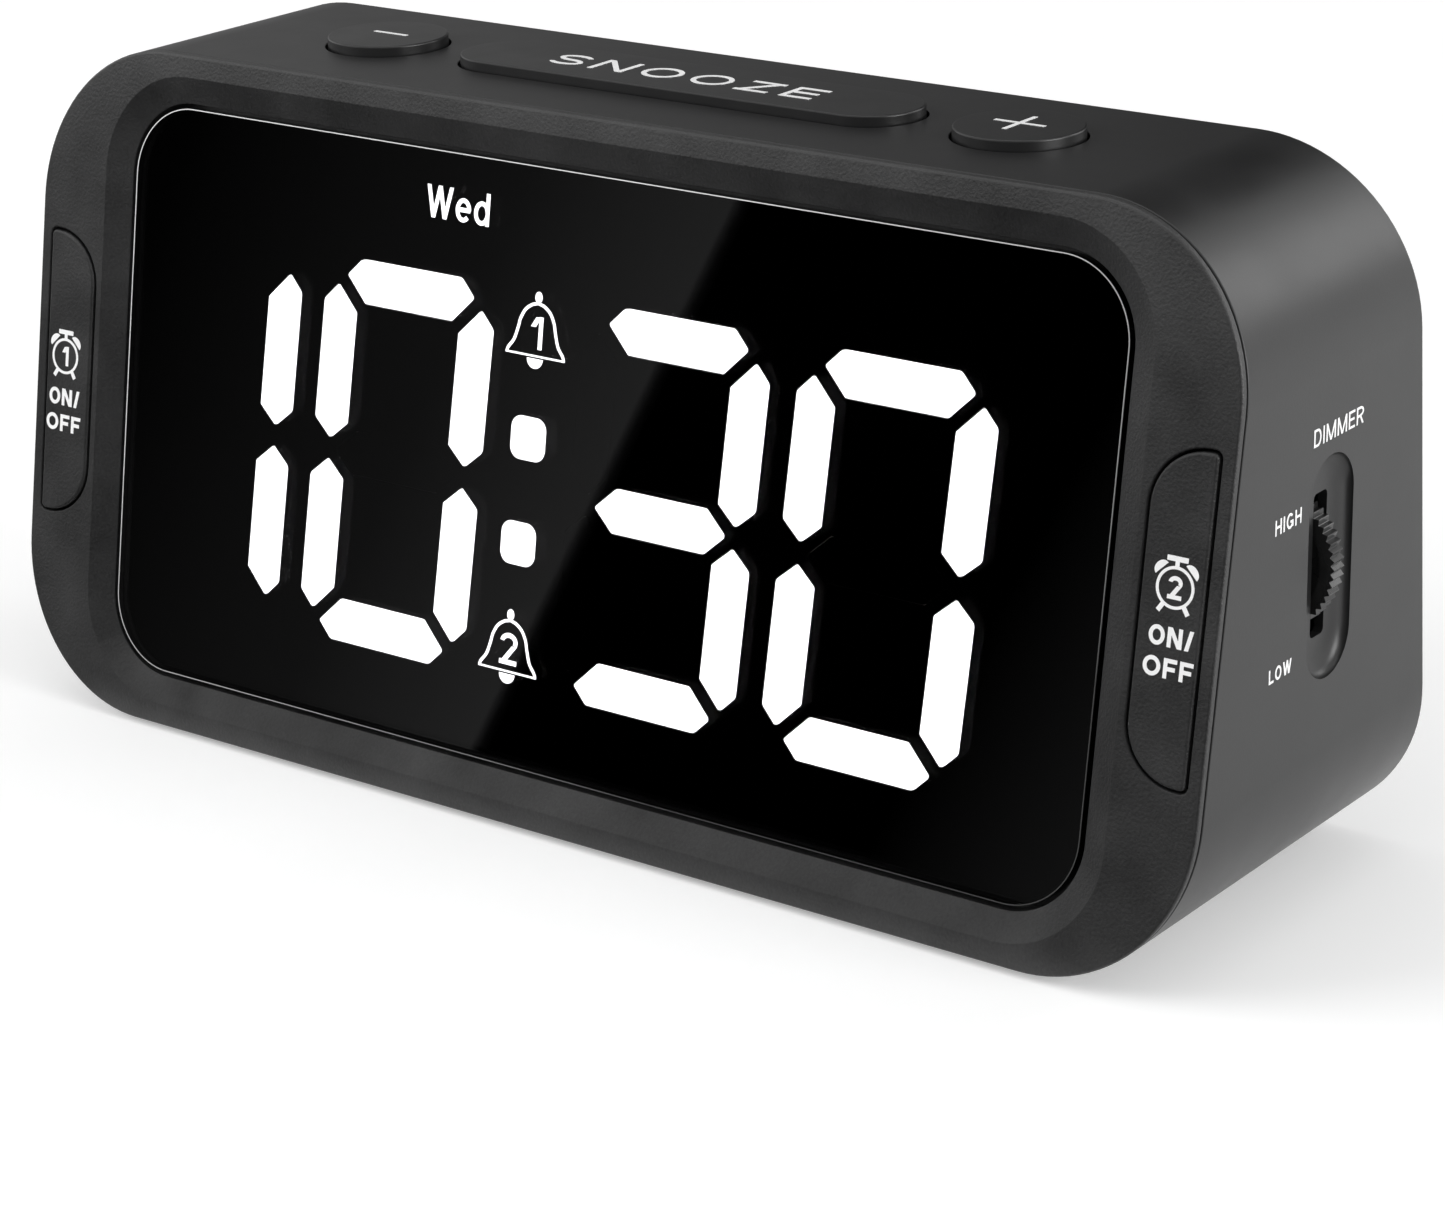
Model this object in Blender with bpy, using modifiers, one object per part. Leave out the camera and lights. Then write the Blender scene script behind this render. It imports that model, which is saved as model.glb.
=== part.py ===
"""A digital alarm clock: a leaning black case with a big four-digit display, keys on its top, face and
back, and a thumbwheel dimmer in its right side.

Sizes are in millimetres and are turned into metres where a mesh is made. The clock stands on its feet at
Z = 0, centred on X and Y, and faces -Y. Two empties carry what belongs to the leaning faces:

  face_frame  on the front plane: X right, Y into the case, Z up the slope from the bottom edge
  back_frame  on the back plane:  X right, Y out of the case, Z up the slope from the bottom edge
"""

import math

import bmesh
import bpy
from mathutils import Matrix, Vector

MM = 0.001

# Overall body
WIDTH = 140.0
HEIGHT = 67.2
BASE_DEPTH = 45.2
FRONT_LEAN = math.radians(9.64)
BACK_LEAN = math.radians(4.75)
CORNER_RADIUS = 16.2
WALL = 2.0

# Clearances
GAP = 0.3
KEY_GAP = 0.25
SWITCH_GAP = 0.25
SCREW_GAP = 0.3
OVERLAP = 1.0
BEYOND = 6.0

# Feet
FOOT_DIAMETER = 8.0
FOOT_PROUD = 0.6
FOOT_POCKET = 0.6
FOOT_SIDE_MARGIN = 24.0
FOOT_Y = 12.0

# Front bezel
RIM_THICKNESS = 0.65
SEAM = 0.3
PLATE_THICKNESS = 3.8
REBATE_WALL = 1.0
RECESS_SIDE_MARGIN = 8.7
RECESS_END_MARGIN = 2.15
RECESS_RADIUS = 10.5
CHAMFER_WIDTH = 2.65
CHAMFER_DEPTH = 1.2

# Lens and display stack, as depths behind the face plane
LENS_GAP = 0.5
LENS_THICKNESS = 1.5
LEDGE = 0.6
MASK_THICKNESS = 0.4
DIFFUSER_BASE = 1.0
REFLECTOR_DEPTH = 3.4
BOARD_THICKNESS = 1.6
BOARD_MARGIN = 3.0
BOARD_END_MARGIN = 7.1
DISPLAY_POST_EDGE = 1.951
DISPLAY_POST_ANGLE = math.radians(46.8)

# Display layout on the face, about the display's own centre
DISPLAY_CENTRE_X = -6.7
DISPLAY_DROP = 2.2
DIGIT_OFFSETS = (-40.65, -16.15, 16.2, 40.7)
DIGIT_BARS = ("bc", "abcdefg", "abcdefg", "abcdefg")
DIGIT_WIDTH = 21.4
DIGIT_HEIGHT = 38.0
STROKE = 4.2
SEGMENT_SPACE = 1.5
TIP_INSET = 1.65
TIP_SPACE = 2.1
UPRIGHT_TAPER = 1.8
MIDDLE_INSET = 3.1
MIDDLE_TAPER = 2.3
BAR_RADIUS = 0.6
SLANT = math.tan(math.radians(1.9))
WINDOW_GROWTH = 0.15
COLON_SIZE = 4.2
COLON_RADIUS = 1.2
COLON_SPREAD = 10.2
ICON_SPREAD = 30.8
ICON_SIZE = 7.4
ICON_RADIUS = 2.0
WEEKDAY_LEFT = 14.4
WEEKDAY_RIGHT = 6.1
WEEKDAY_HEIGHT = 3.6
WEEKDAY_RISE = 25.9
CELL_MARGIN = 0.7
REFLECTOR_MARGIN = 4.5

# Top keys
KEY_PROUD = 1.0
KEY_TRAVEL = 0.8
ROUND_KEY_DIAMETER = 12.0
ROUND_KEY_X = 37.2
SNOOZE_LENGTH = 52.5
SNOOZE_WIDTH = 10.0
KEY_FLANGE = 1.2
FLANGE_THICKNESS = 1.2
STEM_DIAMETER = 4.0
STEM_LENGTH = 1.8
TOP_SWITCH_HEIGHT = 5.0
TOP_BOARD_END = 3.5
TOP_BOARD_CLEARANCE = 1.917
TOP_BOARD_FRONT = 4.1
TOP_BOARD_BACK = 3.6
TOP_BOARD_THICKNESS = 1.2
TOP_POST_X = 48.5
POST_RADIUS = 2.3

# Alarm keys on the face
SIDE_KEY_PROUD = 0.2
SIDE_KEY_TRAVEL = 0.6
SIDE_KEY_INNER_MARGIN = 7.7
SIDE_KEY_OUTER_MARGIN = 1.6
SIDE_KEY_HEIGHT = 29.0
SIDE_KEY_RADIUS = 5.2
SIDE_KEY_SMALL_RADIUS = 0.8
SIDE_FLANGE = 0.9
SIDE_FLANGE_REACH = 1.0
SIDE_SWITCH_MARGIN = 6.0
SIDE_SWITCH_SIZE = 5.0

# Dimmer in the right side
DIMMER_Y = 2.1
DIMMER_UP = 33.4
DISH_WIDTH = 7.9
DISH_HEIGHT = 20.6
DISH_DEPTH = 1.1
SLOT_WIDTH = 2.4
SLOT_HEIGHT = 13.3
WHEEL_DIAMETER = 13.2
WHEEL_THICKNESS = 1.8
WHEEL_PROUD = 1.0
WHEEL_TEETH = 60
TOOTH_DEPTH = 0.35
SPINDLE_DIAMETER = 3.0
SPINDLE_LENGTH = 2.1
BEARING_GAP = 0.15
POT_WALL_ROOM = 0.4
POT_HEIGHT = 9.0
POT_THICKNESS = 3.6
DIMMER_BOARD_WIDTH = 8.5
DIMMER_BOARD_LOW = 7.5
DIMMER_BOARD_HIGH = 13.5
DIMMER_BOARD_THICKNESS = 1.2
RIB_DEPTH = 5.3
RIB_HEIGHT = 5.0
RIB_WIDTH = 6.0

# Back cover and what it carries, as depths behind the back plane
COVER_INSET = 0.5
COVER_THICKNESS = 2.0
COVER_GAP = 0.35
BOSS_RADIUS = 4.4
BOSS_BITE = 1.0
BOSS_LENGTH = 9.0
SCREW_HOLE_RADIUS = 1.3
HEAD_RADIUS = 2.4
HEAD_THICKNESS = 0.6
COUNTERBORE = 1.0
CASE_SCREW_LENGTH = 8.0
BOARD_SCREW_LENGTH = 5.0
SCREW_RADIUS = 1.0
SET_KEY_DIAMETER = 6.4
SET_KEY_PROUD = 0.9
SET_KEY_TRAVEL = 0.6
SET_KEY_SPACING = 22.0
SET_KEY_UP = 51.0
SET_KEY_CENTRE_X = 11.0
SET_FLANGE = 1.1
MAIN_BOARD_DEPTH = 8.9
MAIN_BOARD_BOSS_ROOM = 0.537
MAIN_BOARD_TOP = 54.0
MAIN_BOARD_TRAY_ROOM = 2.4
MAIN_BOARD_TRAY_SIDE = 3.4
MAIN_BOARD_BOTTOM = 8.5
MAIN_POST_INSET = 3.5
MAIN_POST_UP = 46.0
CHIP_SIZE = 10.0
CHIP_HEIGHT = 1.5
BUZZER_DIAMETER = 20.0
BUZZER_HEIGHT = 4.4
BUZZER_HOLE_DIAMETER = 3.0
BUZZER_HOLE_DEPTH = 2.4
BUZZER_X = 38.0
BUZZER_UP = 31.0
GRILLE_SLOTS = 6
GRILLE_PITCH = 2.6
GRILLE_SLOT_WIDTH = 1.3
GRILLE_RADIUS = 8.4
JACK_X = 28.0
JACK_UP = 14.5
JACK_SIZE = 9.0
JACK_NOSE_DIAMETER = 7.4
JACK_BORE_DIAMETER = 5.6
JACK_PIN_DIAMETER = 2.1
JACK_BORE_DEPTH = 6.5

# Battery compartment in the back
DOOR_X = -22.0
DOOR_UP = 24.0
DOOR_END_ROOM = 4.4
DOOR_SIDE_ROOM = 3.3
DOOR_THICKNESS = 1.6
DOOR_GAP = 0.4
DOOR_PIVOT_RISE = 0.8
THUMB_NOTCH_WIDTH = 12.0
THUMB_NOTCH_HEIGHT = 2.2
THUMB_NOTCH_DEPTH = 0.6
TRAY_WALL = 1.3
TRAY_MARGIN = 1.1
CELL_DIAMETER = 10.5
CELL_LENGTH = 43.5
NUB_DIAMETER = 3.8
NUB_LENGTH = 0.9
CELL_APART = 1.9
CELL_FRONT_ROOM = 0.85
CELL_BACK_ROOM = 0.55
SPRING_TURNS = 3
SPRING_RADIUS = 2.6
SPRING_WIRE = 0.35
SPRING_LENGTH = 4.4

# Cable between the two boards
CABLE_X = 24.0
CABLE_WIDTH = 12.0
CABLE_THICKNESS = 0.6
CABLE_UP = 46.4
CABLE_SAG = 2.6

# Mesh fineness
WELD_DISTANCE = 0.01
CORNER_STEPS = 10
ROUND_STEPS = 28
SMALL_STEPS = 12
DISH_STEPS = 10
SCREW_STEPS = 10

# Worked out from the sizes above
HALF = WIDTH / 2
FACE_HEIGHT = HEIGHT / math.cos(FRONT_LEAN)
BACK_HEIGHT = HEIGHT / math.cos(BACK_LEAN)
TOP_Z = FOOT_PROUD + HEIGHT
FACE_MIDDLE = FACE_HEIGHT / 2
FOOT_X = HALF - FOOT_SIDE_MARGIN
DISPLAY_CENTRE_UP = FACE_MIDDLE - DISPLAY_DROP
SIDE_KEY_INNER_X = HALF - SIDE_KEY_INNER_MARGIN
SIDE_KEY_OUTER_X = HALF - SIDE_KEY_OUTER_MARGIN
SIDE_SWITCH_X = HALF - SIDE_SWITCH_MARGIN
HOUSING_START = RIM_THICKNESS + SEAM
LENS_FRONT = CHAMFER_DEPTH
LENS_BACK = LENS_FRONT + LENS_THICKNESS
MASK_FRONT = LENS_BACK + GAP
MASK_BACK = MASK_FRONT + MASK_THICKNESS
DIFFUSER_FRONT = MASK_BACK + GAP
DIFFUSER_BACK = DIFFUSER_FRONT + DIFFUSER_BASE
REFLECTOR_FRONT = DIFFUSER_BACK + GAP
REFLECTOR_BACK = REFLECTOR_FRONT + REFLECTOR_DEPTH
DISPLAY_BOARD_FRONT = REFLECTOR_BACK + GAP
DISPLAY_BOARD_BACK = DISPLAY_BOARD_FRONT + BOARD_THICKNESS
POCKET_WIDTH = WIDTH - 2 * (RECESS_SIDE_MARGIN + CHAMFER_WIDTH)
POCKET_HEIGHT = FACE_HEIGHT - 2 * (RECESS_END_MARGIN + CHAMFER_WIDTH)
POCKET_RADIUS = RECESS_RADIUS - CHAMFER_WIDTH
LENS_WIDTH = POCKET_WIDTH - 2 * LENS_GAP
LENS_HEIGHT = POCKET_HEIGHT - 2 * LENS_GAP
LENS_RADIUS = POCKET_RADIUS - LENS_GAP
APERTURE_WIDTH = POCKET_WIDTH - 2 * LEDGE
APERTURE_HEIGHT = POCKET_HEIGHT - 2 * LEDGE
APERTURE_RADIUS = POCKET_RADIUS - LEDGE
MASK_WIDTH = APERTURE_WIDTH - 2 * GAP
MASK_HEIGHT = APERTURE_HEIGHT - 2 * GAP
MASK_RADIUS = APERTURE_RADIUS - GAP
DISPLAY_BOARD_WIDTH = WIDTH - 2 * BOARD_MARGIN
DISPLAY_BOARD_HEIGHT = FACE_HEIGHT - 2 * BOARD_END_MARGIN
DISPLAY_BOARD_RADIUS = CORNER_RADIUS - BOARD_MARGIN
DISPLAY_POST_REACH = DISPLAY_BOARD_RADIUS - DISPLAY_POST_EDGE
DISPLAY_CORNER_X = HALF - BOARD_MARGIN - DISPLAY_BOARD_RADIUS
DISPLAY_CORNER_UP = FACE_MIDDLE - BOARD_END_MARGIN - DISPLAY_BOARD_RADIUS
DISPLAY_POST_X = DISPLAY_CORNER_X + DISPLAY_POST_REACH * math.cos(DISPLAY_POST_ANGLE)
DISPLAY_POST_UP = DISPLAY_CORNER_UP + DISPLAY_POST_REACH * math.sin(DISPLAY_POST_ANGLE)
TOP_BOARD_WIDTH = 2 * (TOP_POST_X + TOP_BOARD_END)
WALL_UNDERSIDE = TOP_Z - WALL
KEY_FLANGE_TOP = WALL_UNDERSIDE - GAP
STEM_END = KEY_FLANGE_TOP - FLANGE_THICKNESS - STEM_LENGTH
TOP_SWITCH_TOP = STEM_END - KEY_TRAVEL - SWITCH_GAP
TOP_BOARD_TOP = TOP_SWITCH_TOP - TOP_SWITCH_HEIGHT - GAP
DISPLAY_BACK_Y = (
    -BASE_DEPTH / 2
    + (TOP_BOARD_TOP - FOOT_PROUD) * math.tan(FRONT_LEAN)
    + DISPLAY_BOARD_BACK / math.cos(FRONT_LEAN)
)
KEY_Y = DISPLAY_BACK_Y + TOP_BOARD_CLEARANCE + TOP_BOARD_FRONT
SIDE_FLANGE_FRONT = PLATE_THICKNESS + GAP
SIDE_SWITCH_FRONT = SIDE_FLANGE_FRONT + SIDE_FLANGE + SIDE_KEY_TRAVEL + SWITCH_GAP
REBATE_DEPTH = SIDE_SWITCH_FRONT
WHEEL_RADIUS = WHEEL_DIAMETER / 2
WHEEL_X = HALF + WHEEL_PROUD - WHEEL_RADIUS
POT_SIZE = 2 * (HALF - WALL - POT_WALL_ROOM - WHEEL_X)
DIMMER_Z = FOOT_PROUD + DIMMER_UP
WHEEL_BACK_Y = DIMMER_Y + WHEEL_THICKNESS / 2
POT_FRONT_Y = WHEEL_BACK_Y + GAP
DIMMER_BOARD_Y = POT_FRONT_Y + POT_THICKNESS + GAP
COVER_BACK = COVER_INSET + COVER_THICKNESS
COVER_WIDTH = WIDTH - 2 * (WALL + COVER_GAP)
COVER_HEIGHT = BACK_HEIGHT - 2 * (WALL + COVER_GAP)
COVER_RADIUS = CORNER_RADIUS - WALL - COVER_GAP
COVER_MIDDLE = BACK_HEIGHT / 2 + (COVER_INSET + COVER_THICKNESS / 2) * math.tan(BACK_LEAN)
BOSS_OFFSET = (CORNER_RADIUS - WALL + BOSS_BITE - BOSS_RADIUS) / math.sqrt(2)
BOSS_X = HALF - CORNER_RADIUS + BOSS_OFFSET
BOSS_RISE = HEIGHT / 2 - CORNER_RADIUS + BOSS_OFFSET
TRAY_FRONT = COVER_BACK + GAP
CELL_SPACING = CELL_DIAMETER + CELL_APART
CELL_DEPTH = TRAY_FRONT + CELL_FRONT_ROOM + CELL_DIAMETER / 2
TRAY_DEPTH = CELL_FRONT_ROOM + CELL_DIAMETER + CELL_BACK_ROOM + TRAY_WALL
DOOR_WIDTH = CELL_LENGTH + NUB_LENGTH + SPRING_LENGTH + DOOR_END_ROOM
DOOR_HEIGHT = CELL_SPACING + CELL_DIAMETER + DOOR_SIDE_ROOM
OPENING_WIDTH = DOOR_WIDTH + 2 * DOOR_GAP
OPENING_HEIGHT = DOOR_HEIGHT + 2 * DOOR_GAP
TRAY_WIDTH = OPENING_WIDTH + 2 * TRAY_MARGIN
TRAY_HEIGHT = OPENING_HEIGHT + 2 * TRAY_MARGIN
MAIN_BOARD_HALF_WIDTH = BOSS_X - BOSS_RADIUS - MAIN_BOARD_BOSS_ROOM
MAIN_POST_X = MAIN_BOARD_HALF_WIDTH - MAIN_POST_INSET
MAIN_BOARD_STEP_X = DOOR_X + TRAY_WIDTH / 2 + MAIN_BOARD_TRAY_SIDE
MAIN_BOARD_STEP_UP = DOOR_UP + TRAY_HEIGHT / 2 + MAIN_BOARD_TRAY_ROOM
MAIN_BOARD_INNER = MAIN_BOARD_DEPTH + BOARD_THICKNESS


def material(name, colour, roughness, metallic=0.0):
    """A Principled material of one plain colour."""
    made = bpy.data.materials.new(name)
    made.use_nodes = True
    shader = made.node_tree.nodes["Principled BSDF"]
    shader.inputs["Base Color"].default_value = (*colour, 1.0)
    shader.inputs["Roughness"].default_value = roughness
    shader.inputs["Metallic"].default_value = metallic
    return made


def clear_scene():
    """Removes every object of the open scene."""
    for obj in list(bpy.data.objects):
        bpy.data.objects.remove(obj, do_unlink=True)


def arc_corner(before, corner, after, radius, steps):
    """The points of a fillet of this radius at a corner between two straight edges."""
    corner = Vector(corner)
    inward = (Vector(before) - corner).normalized()
    outward = (Vector(after) - corner).normalized()
    half_angle = inward.angle(outward) / 2
    centre = corner + (inward + outward).normalized() * (radius / math.sin(half_angle))
    start = corner + inward * (radius / math.tan(half_angle)) - centre
    end = corner + outward * (radius / math.tan(half_angle)) - centre
    turn = start.angle_signed(end)
    return [centre + Matrix.Rotation(-turn * i / steps, 2) @ start for i in range(steps + 1)]


def filleted(corners, steps=CORNER_STEPS):
    """A closed outline from (x, up, radius) corners, anticlockwise. A radius of 0 keeps the corner sharp."""
    points = []
    for i, (x, up, radius) in enumerate(corners):
        before = corners[i - 1][:2]
        after = corners[(i + 1) % len(corners)][:2]
        if radius > 0:
            points += arc_corner(before, (x, up), after, radius, steps)
        else:
            points.append(Vector((x, up)))
    apart = [p for i, p in enumerate(points) if (p - points[i - 1]).length > 1e-4]
    return [(p[0], p[1]) for p in apart]


def rectangle(width, height, radius=0.0, centre=(0.0, 0.0), steps=CORNER_STEPS):
    """A rectangle's outline with round corners."""
    x, up = centre
    half_w, half_h = width / 2, height / 2
    corners = [
        (x - half_w, up - half_h, radius),
        (x + half_w, up - half_h, radius),
        (x + half_w, up + half_h, radius),
        (x - half_w, up + half_h, radius),
    ]
    return filleted(corners, steps)


def circle(radius, centre=(0.0, 0.0), steps=ROUND_STEPS):
    """A circle's outline."""
    angles = [2 * math.pi * i / steps for i in range(steps)]
    return [(centre[0] + radius * math.cos(a), centre[1] + radius * math.sin(a)) for a in angles]


class Builder:
    """Makes the clock's objects in their collections."""

    def __init__(self):
        self.parts = self.collection("alarm_clock")
        self.tools = self.collection("cutters")
        self.face = self.frame("face_frame", (0.0, -BASE_DEPTH / 2, FOOT_PROUD), -FRONT_LEAN)
        self.back = self.frame("back_frame", (0.0, BASE_DEPTH / 2, FOOT_PROUD), BACK_LEAN)

    def collection(self, name):
        made = bpy.data.collections.new(name)
        bpy.context.scene.collection.children.link(made)
        return made

    def frame(self, name, place, lean):
        empty = bpy.data.objects.new(name, None)
        empty.location = Vector(place) * MM
        empty.rotation_euler.x = lean
        self.parts.objects.link(empty)
        return empty

    def add(self, name, mesh, place=(0.0, 0.0, 0.0), frame=None, finish=None):
        """An object of this mesh in a frame. Without a finish it is a tool, which the build leaves out."""
        obj = bpy.data.objects.new(name, mesh)
        obj.location = Vector(place) * MM
        obj.parent = frame
        if finish is None:
            obj.hide_render = True
            obj.display_type = "WIRE"
            self.tools.objects.link(obj)
        else:
            mesh.materials.append(finish)
            mesh.shade_smooth()
            mesh.set_sharp_from_angle(angle=math.radians(30))
            self.parts.objects.link(obj)
        return obj

    def sheet_mesh(self, name, outlines, low, high, axis):
        """Flat outlines, one inside another for a hole, thickened from low to high along an axis."""
        curve = bpy.data.curves.new(name, "CURVE")
        curve.dimensions = "2D"
        curve.fill_mode = "BOTH"
        curve.extrude = (high - low) / 2 * MM
        for outline in outlines:
            spline = curve.splines.new("POLY")
            spline.points.add(len(outline) - 1)
            for point, (x, up) in zip(spline.points, outline):
                point.co = (x * MM, up * MM, 0.0, 1.0)
            spline.use_cyclic_u = True
        holder = bpy.data.objects.new(name + "_curve", curve)
        self.tools.objects.link(holder)
        bpy.context.view_layer.update()
        evaluated = holder.evaluated_get(bpy.context.evaluated_depsgraph_get())
        mesh = bpy.data.meshes.new_from_object(evaluated)
        mesh.name = name
        bpy.data.objects.remove(holder, do_unlink=True)
        bpy.data.curves.remove(curve)
        turn = {"X": Matrix(((0, 0, 1, 0), (1, 0, 0, 0), (0, 1, 0, 0), (0, 0, 0, 1)))}
        turn["Y"] = Matrix.Rotation(math.radians(90), 4, "X")
        turn["Z"] = Matrix.Identity(4)
        along = {"X": (1, 0, 0), "Y": (0, 1, 0), "Z": (0, 0, 1)}[axis]
        shift = Matrix.Translation(Vector(along) * ((low + high) / 2 * MM))
        mesh.transform(shift @ turn[axis])
        bm = bmesh.new()
        bm.from_mesh(mesh)
        bmesh.ops.remove_doubles(bm, verts=bm.verts, dist=1e-7)
        bmesh.ops.dissolve_limit(bm, angle_limit=1e-3, verts=bm.verts, edges=bm.edges)
        bmesh.ops.recalc_face_normals(bm, faces=bm.faces)
        bm.to_mesh(mesh)
        bm.free()
        return mesh

    def plate(self, name, outlines, low, high, place=(0.0, 0.0, 0.0), frame=None, finish=None, axis="Y"):
        """A flat piece or cutter: outlines in the plane across the axis, thick from low to high along it."""
        mesh = self.sheet_mesh(name, outlines, low, high, axis)
        return self.add(name, mesh, place, frame, finish)

    def box(self, name, size, place, frame=None, finish=None):
        """A block about its own middle."""
        bm = bmesh.new()
        bmesh.ops.create_cube(bm, size=1.0, matrix=Matrix.Diagonal(Vector((*size, 1.0)) * MM))
        mesh = bpy.data.meshes.new(name)
        bm.to_mesh(mesh)
        bm.free()
        return self.add(name, mesh, place, frame, finish)

    def turned(
        self, name, profile, place=(0.0, 0.0, 0.0), frame=None, finish=None, axis="Z", steps=SMALL_STEPS
    ):
        """A turned piece: (radius, along) points down its outer side, from the far end to the near one."""
        mesh = bpy.data.meshes.new(name)
        points = [(radius * MM, 0.0, along * MM) for radius, along in profile]
        mesh.from_pydata(points, [(i, i + 1) for i in range(len(points) - 1)], [])
        obj = self.add(name, mesh, place, frame, finish)
        screw = obj.modifiers.new("turn", "SCREW")
        screw.steps = steps
        screw.render_steps = steps
        screw.use_merge_vertices = True
        screw.merge_threshold = 1e-6
        if axis == "Y":
            obj.rotation_euler.x = math.radians(-90)
        if axis == "X":
            obj.rotation_euler.y = math.radians(90)
        return obj

    def loft(self, name, near, near_y, far, far_y, frame):
        """A cutter between two outlines of as many points, at two places along Y."""
        bm = bmesh.new()
        rings = []
        for outline, y in ((near, near_y), (far, far_y)):
            rings.append([bm.verts.new((x * MM, y * MM, up * MM)) for x, up in outline])
        count = len(near)
        for i in range(count):
            j = (i + 1) % count
            bm.faces.new((rings[0][i], rings[0][j], rings[1][j], rings[1][i]))
        bm.faces.new(rings[0])
        bm.faces.new(rings[1])
        bmesh.ops.triangulate(bm, faces=bm.faces)
        bmesh.ops.recalc_face_normals(bm, faces=bm.faces)
        mesh = bpy.data.meshes.new(name)
        bm.to_mesh(mesh)
        bm.free()
        return self.add(name, mesh, (0.0, 0.0, 0.0), frame)

    def combine(self, obj, tool, operation):
        """Adds a Boolean of a tool to an object."""
        modifier = obj.modifiers.new(tool.name, "BOOLEAN")
        modifier.operation = operation
        modifier.object = tool

    def cut(self, obj, *tools):
        for tool in tools:
            self.combine(obj, tool, "DIFFERENCE")

    def join(self, obj, *tools):
        for tool in tools:
            self.combine(obj, tool, "UNION")

    def weld_cuts(self):
        """Merges the corners that a Boolean leaves almost touching, after the last one on each piece."""
        for obj in self.parts.objects:
            if any(modifier.type == "BOOLEAN" for modifier in obj.modifiers):
                weld = obj.modifiers.new("weld", "WELD")
                weld.merge_threshold = WELD_DISTANCE * MM


def case_section(inset, steps=CORNER_STEPS):
    """The case's section across Y, this far inside its outer surface."""
    middle = (0.0, FOOT_PROUD + HEIGHT / 2)
    return rectangle(WIDTH - 2 * inset, HEIGHT - 2 * inset, CORNER_RADIUS - inset, middle, steps)


def stadium(length, width, grow=0.0):
    """A long outline with round ends, grown by this much all round."""
    wide = width + 2 * grow
    return rectangle(length + 2 * grow, wide, wide / 2)


def side_key_outline(hand, grow, inner_reach=0.0, outer_reach=None):
    """An alarm key's outline about the face's middle line: large inner corners and small outer ones."""
    inner = SIDE_KEY_INNER_X - grow - inner_reach
    outer = SIDE_KEY_OUTER_X + (grow if outer_reach is None else outer_reach)
    half = SIDE_KEY_HEIGHT / 2 + grow + inner_reach
    large = SIDE_KEY_RADIUS + grow
    small = SIDE_KEY_SMALL_RADIUS
    corners = [(inner, -half, large), (outer, -half, small), (outer, half, small), (inner, half, large)]
    if hand < 0:
        corners = [(-x, up, radius) for x, up, radius in reversed(corners)]
    return filleted(corners, 8)


def grown(outline, grow):
    """A convex anticlockwise outline with every side moved out by this much."""
    sides = []
    for i, point in enumerate(outline):
        start, end = Vector(outline[i - 1]), Vector(point)
        along = (end - start).normalized()
        sides.append((start + Vector((along.y, -along.x)) * grow, along))
    points = []
    for i, (start, along) in enumerate(sides):
        other, direction = sides[(i + 1) % len(sides)]
        cross = along.x * direction.y - along.y * direction.x
        apart = other - start
        reach = (apart.x * direction.y - apart.y * direction.x) / cross
        points.append(tuple(start + along * reach))
    return points


def flipped(outline, across, up):
    """An outline mirrored across one axis or both, still anticlockwise."""
    made = [(x * across, y * up) for x, y in outline]
    return made[::-1] if across * up < 0 else made


def digit_bars():
    """The seven bars of one upright digit about its middle. Each is a convex outline with mitred ends."""
    wide, tall = DIGIT_WIDTH / 2, DIGIT_HEIGHT / 2
    inner, under = wide - STROKE, tall - STROKE
    space = SEGMENT_SPACE / math.sqrt(2)
    slope = STROKE - TIP_INSET
    root = inner - space
    level_tip = root + slope
    level = [
        (-root, under),
        (root, under),
        (level_tip, under + slope),
        (level_tip - TIP_INSET, tall),
        (TIP_INSET - level_tip, tall),
        (-level_tip, under + slope),
    ]
    start = TIP_SPACE / 2
    top = under - space
    upright = [
        (inner + STROKE / 2, start),
        (wide, start + UPRIGHT_TAPER),
        (wide, top + slope - TIP_INSET),
        (inner + slope, top + slope),
        (inner, top),
        (inner, start + UPRIGHT_TAPER),
    ]
    tip = wide - MIDDLE_INSET
    corner = tip - MIDDLE_TAPER
    half = STROKE / 2
    middle = [(-tip, 0.0), (-corner, -half), (corner, -half), (tip, 0.0), (corner, half), (-corner, half)]
    return {
        "a": level,
        "b": upright,
        "c": flipped(upright, 1, -1),
        "d": flipped(level, 1, -1),
        "e": flipped(upright, -1, -1),
        "f": flipped(upright, -1, 1),
        "g": middle,
    }


def slanted(outline):
    return [(x + up * SLANT, up) for x, up in outline]


def digit_outlines(grow, names):
    """The named bars of one digit about its middle, with soft corners, slanted."""
    bars = digit_bars()
    soft = [[(x, up, BAR_RADIUS) for x, up in grown(bars[name], grow)] for name in names]
    return [slanted(filleted(bar, 2)) for bar in soft]


def digit_base(names):
    """The plate behind a digit's bars. One behind right-hand bars alone is as narrow as they are."""
    right = DIGIT_WIDTH / 2 + CELL_MARGIN
    left = DIGIT_WIDTH / 2 - STROKE - CELL_MARGIN if set(names) <= set("bc") else -right
    return rectangle(right - left, DIGIT_HEIGHT + 2 * CELL_MARGIN, 1.0, ((left + right) / 2, 0.0), 2)


def marks_outlines(grow):
    """The colon's two dots and the two alarm marks, on the display's slanted centre line."""
    outlines = []
    shapes = ((COLON_SIZE, COLON_RADIUS, COLON_SPREAD), (ICON_SIZE, ICON_RADIUS, ICON_SPREAD))
    for size, radius, spread in shapes:
        for up in (-spread / 2, spread / 2):
            side = size + 2 * grow
            outlines.append(rectangle(side, side, radius + grow, (up * SLANT, up), 3))
    return outlines


def weekday_outline(grow):
    """The weekday's window above the digits."""
    left = -WEEKDAY_LEFT - grow
    right = -WEEKDAY_RIGHT + grow
    return rectangle(right - left, WEEKDAY_HEIGHT + 2 * grow, 0.4, ((left + right) / 2, WEEKDAY_RISE), 2)


def moved(outline, x, up):
    return [(px + x, py + up) for px, py in outline]


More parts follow.
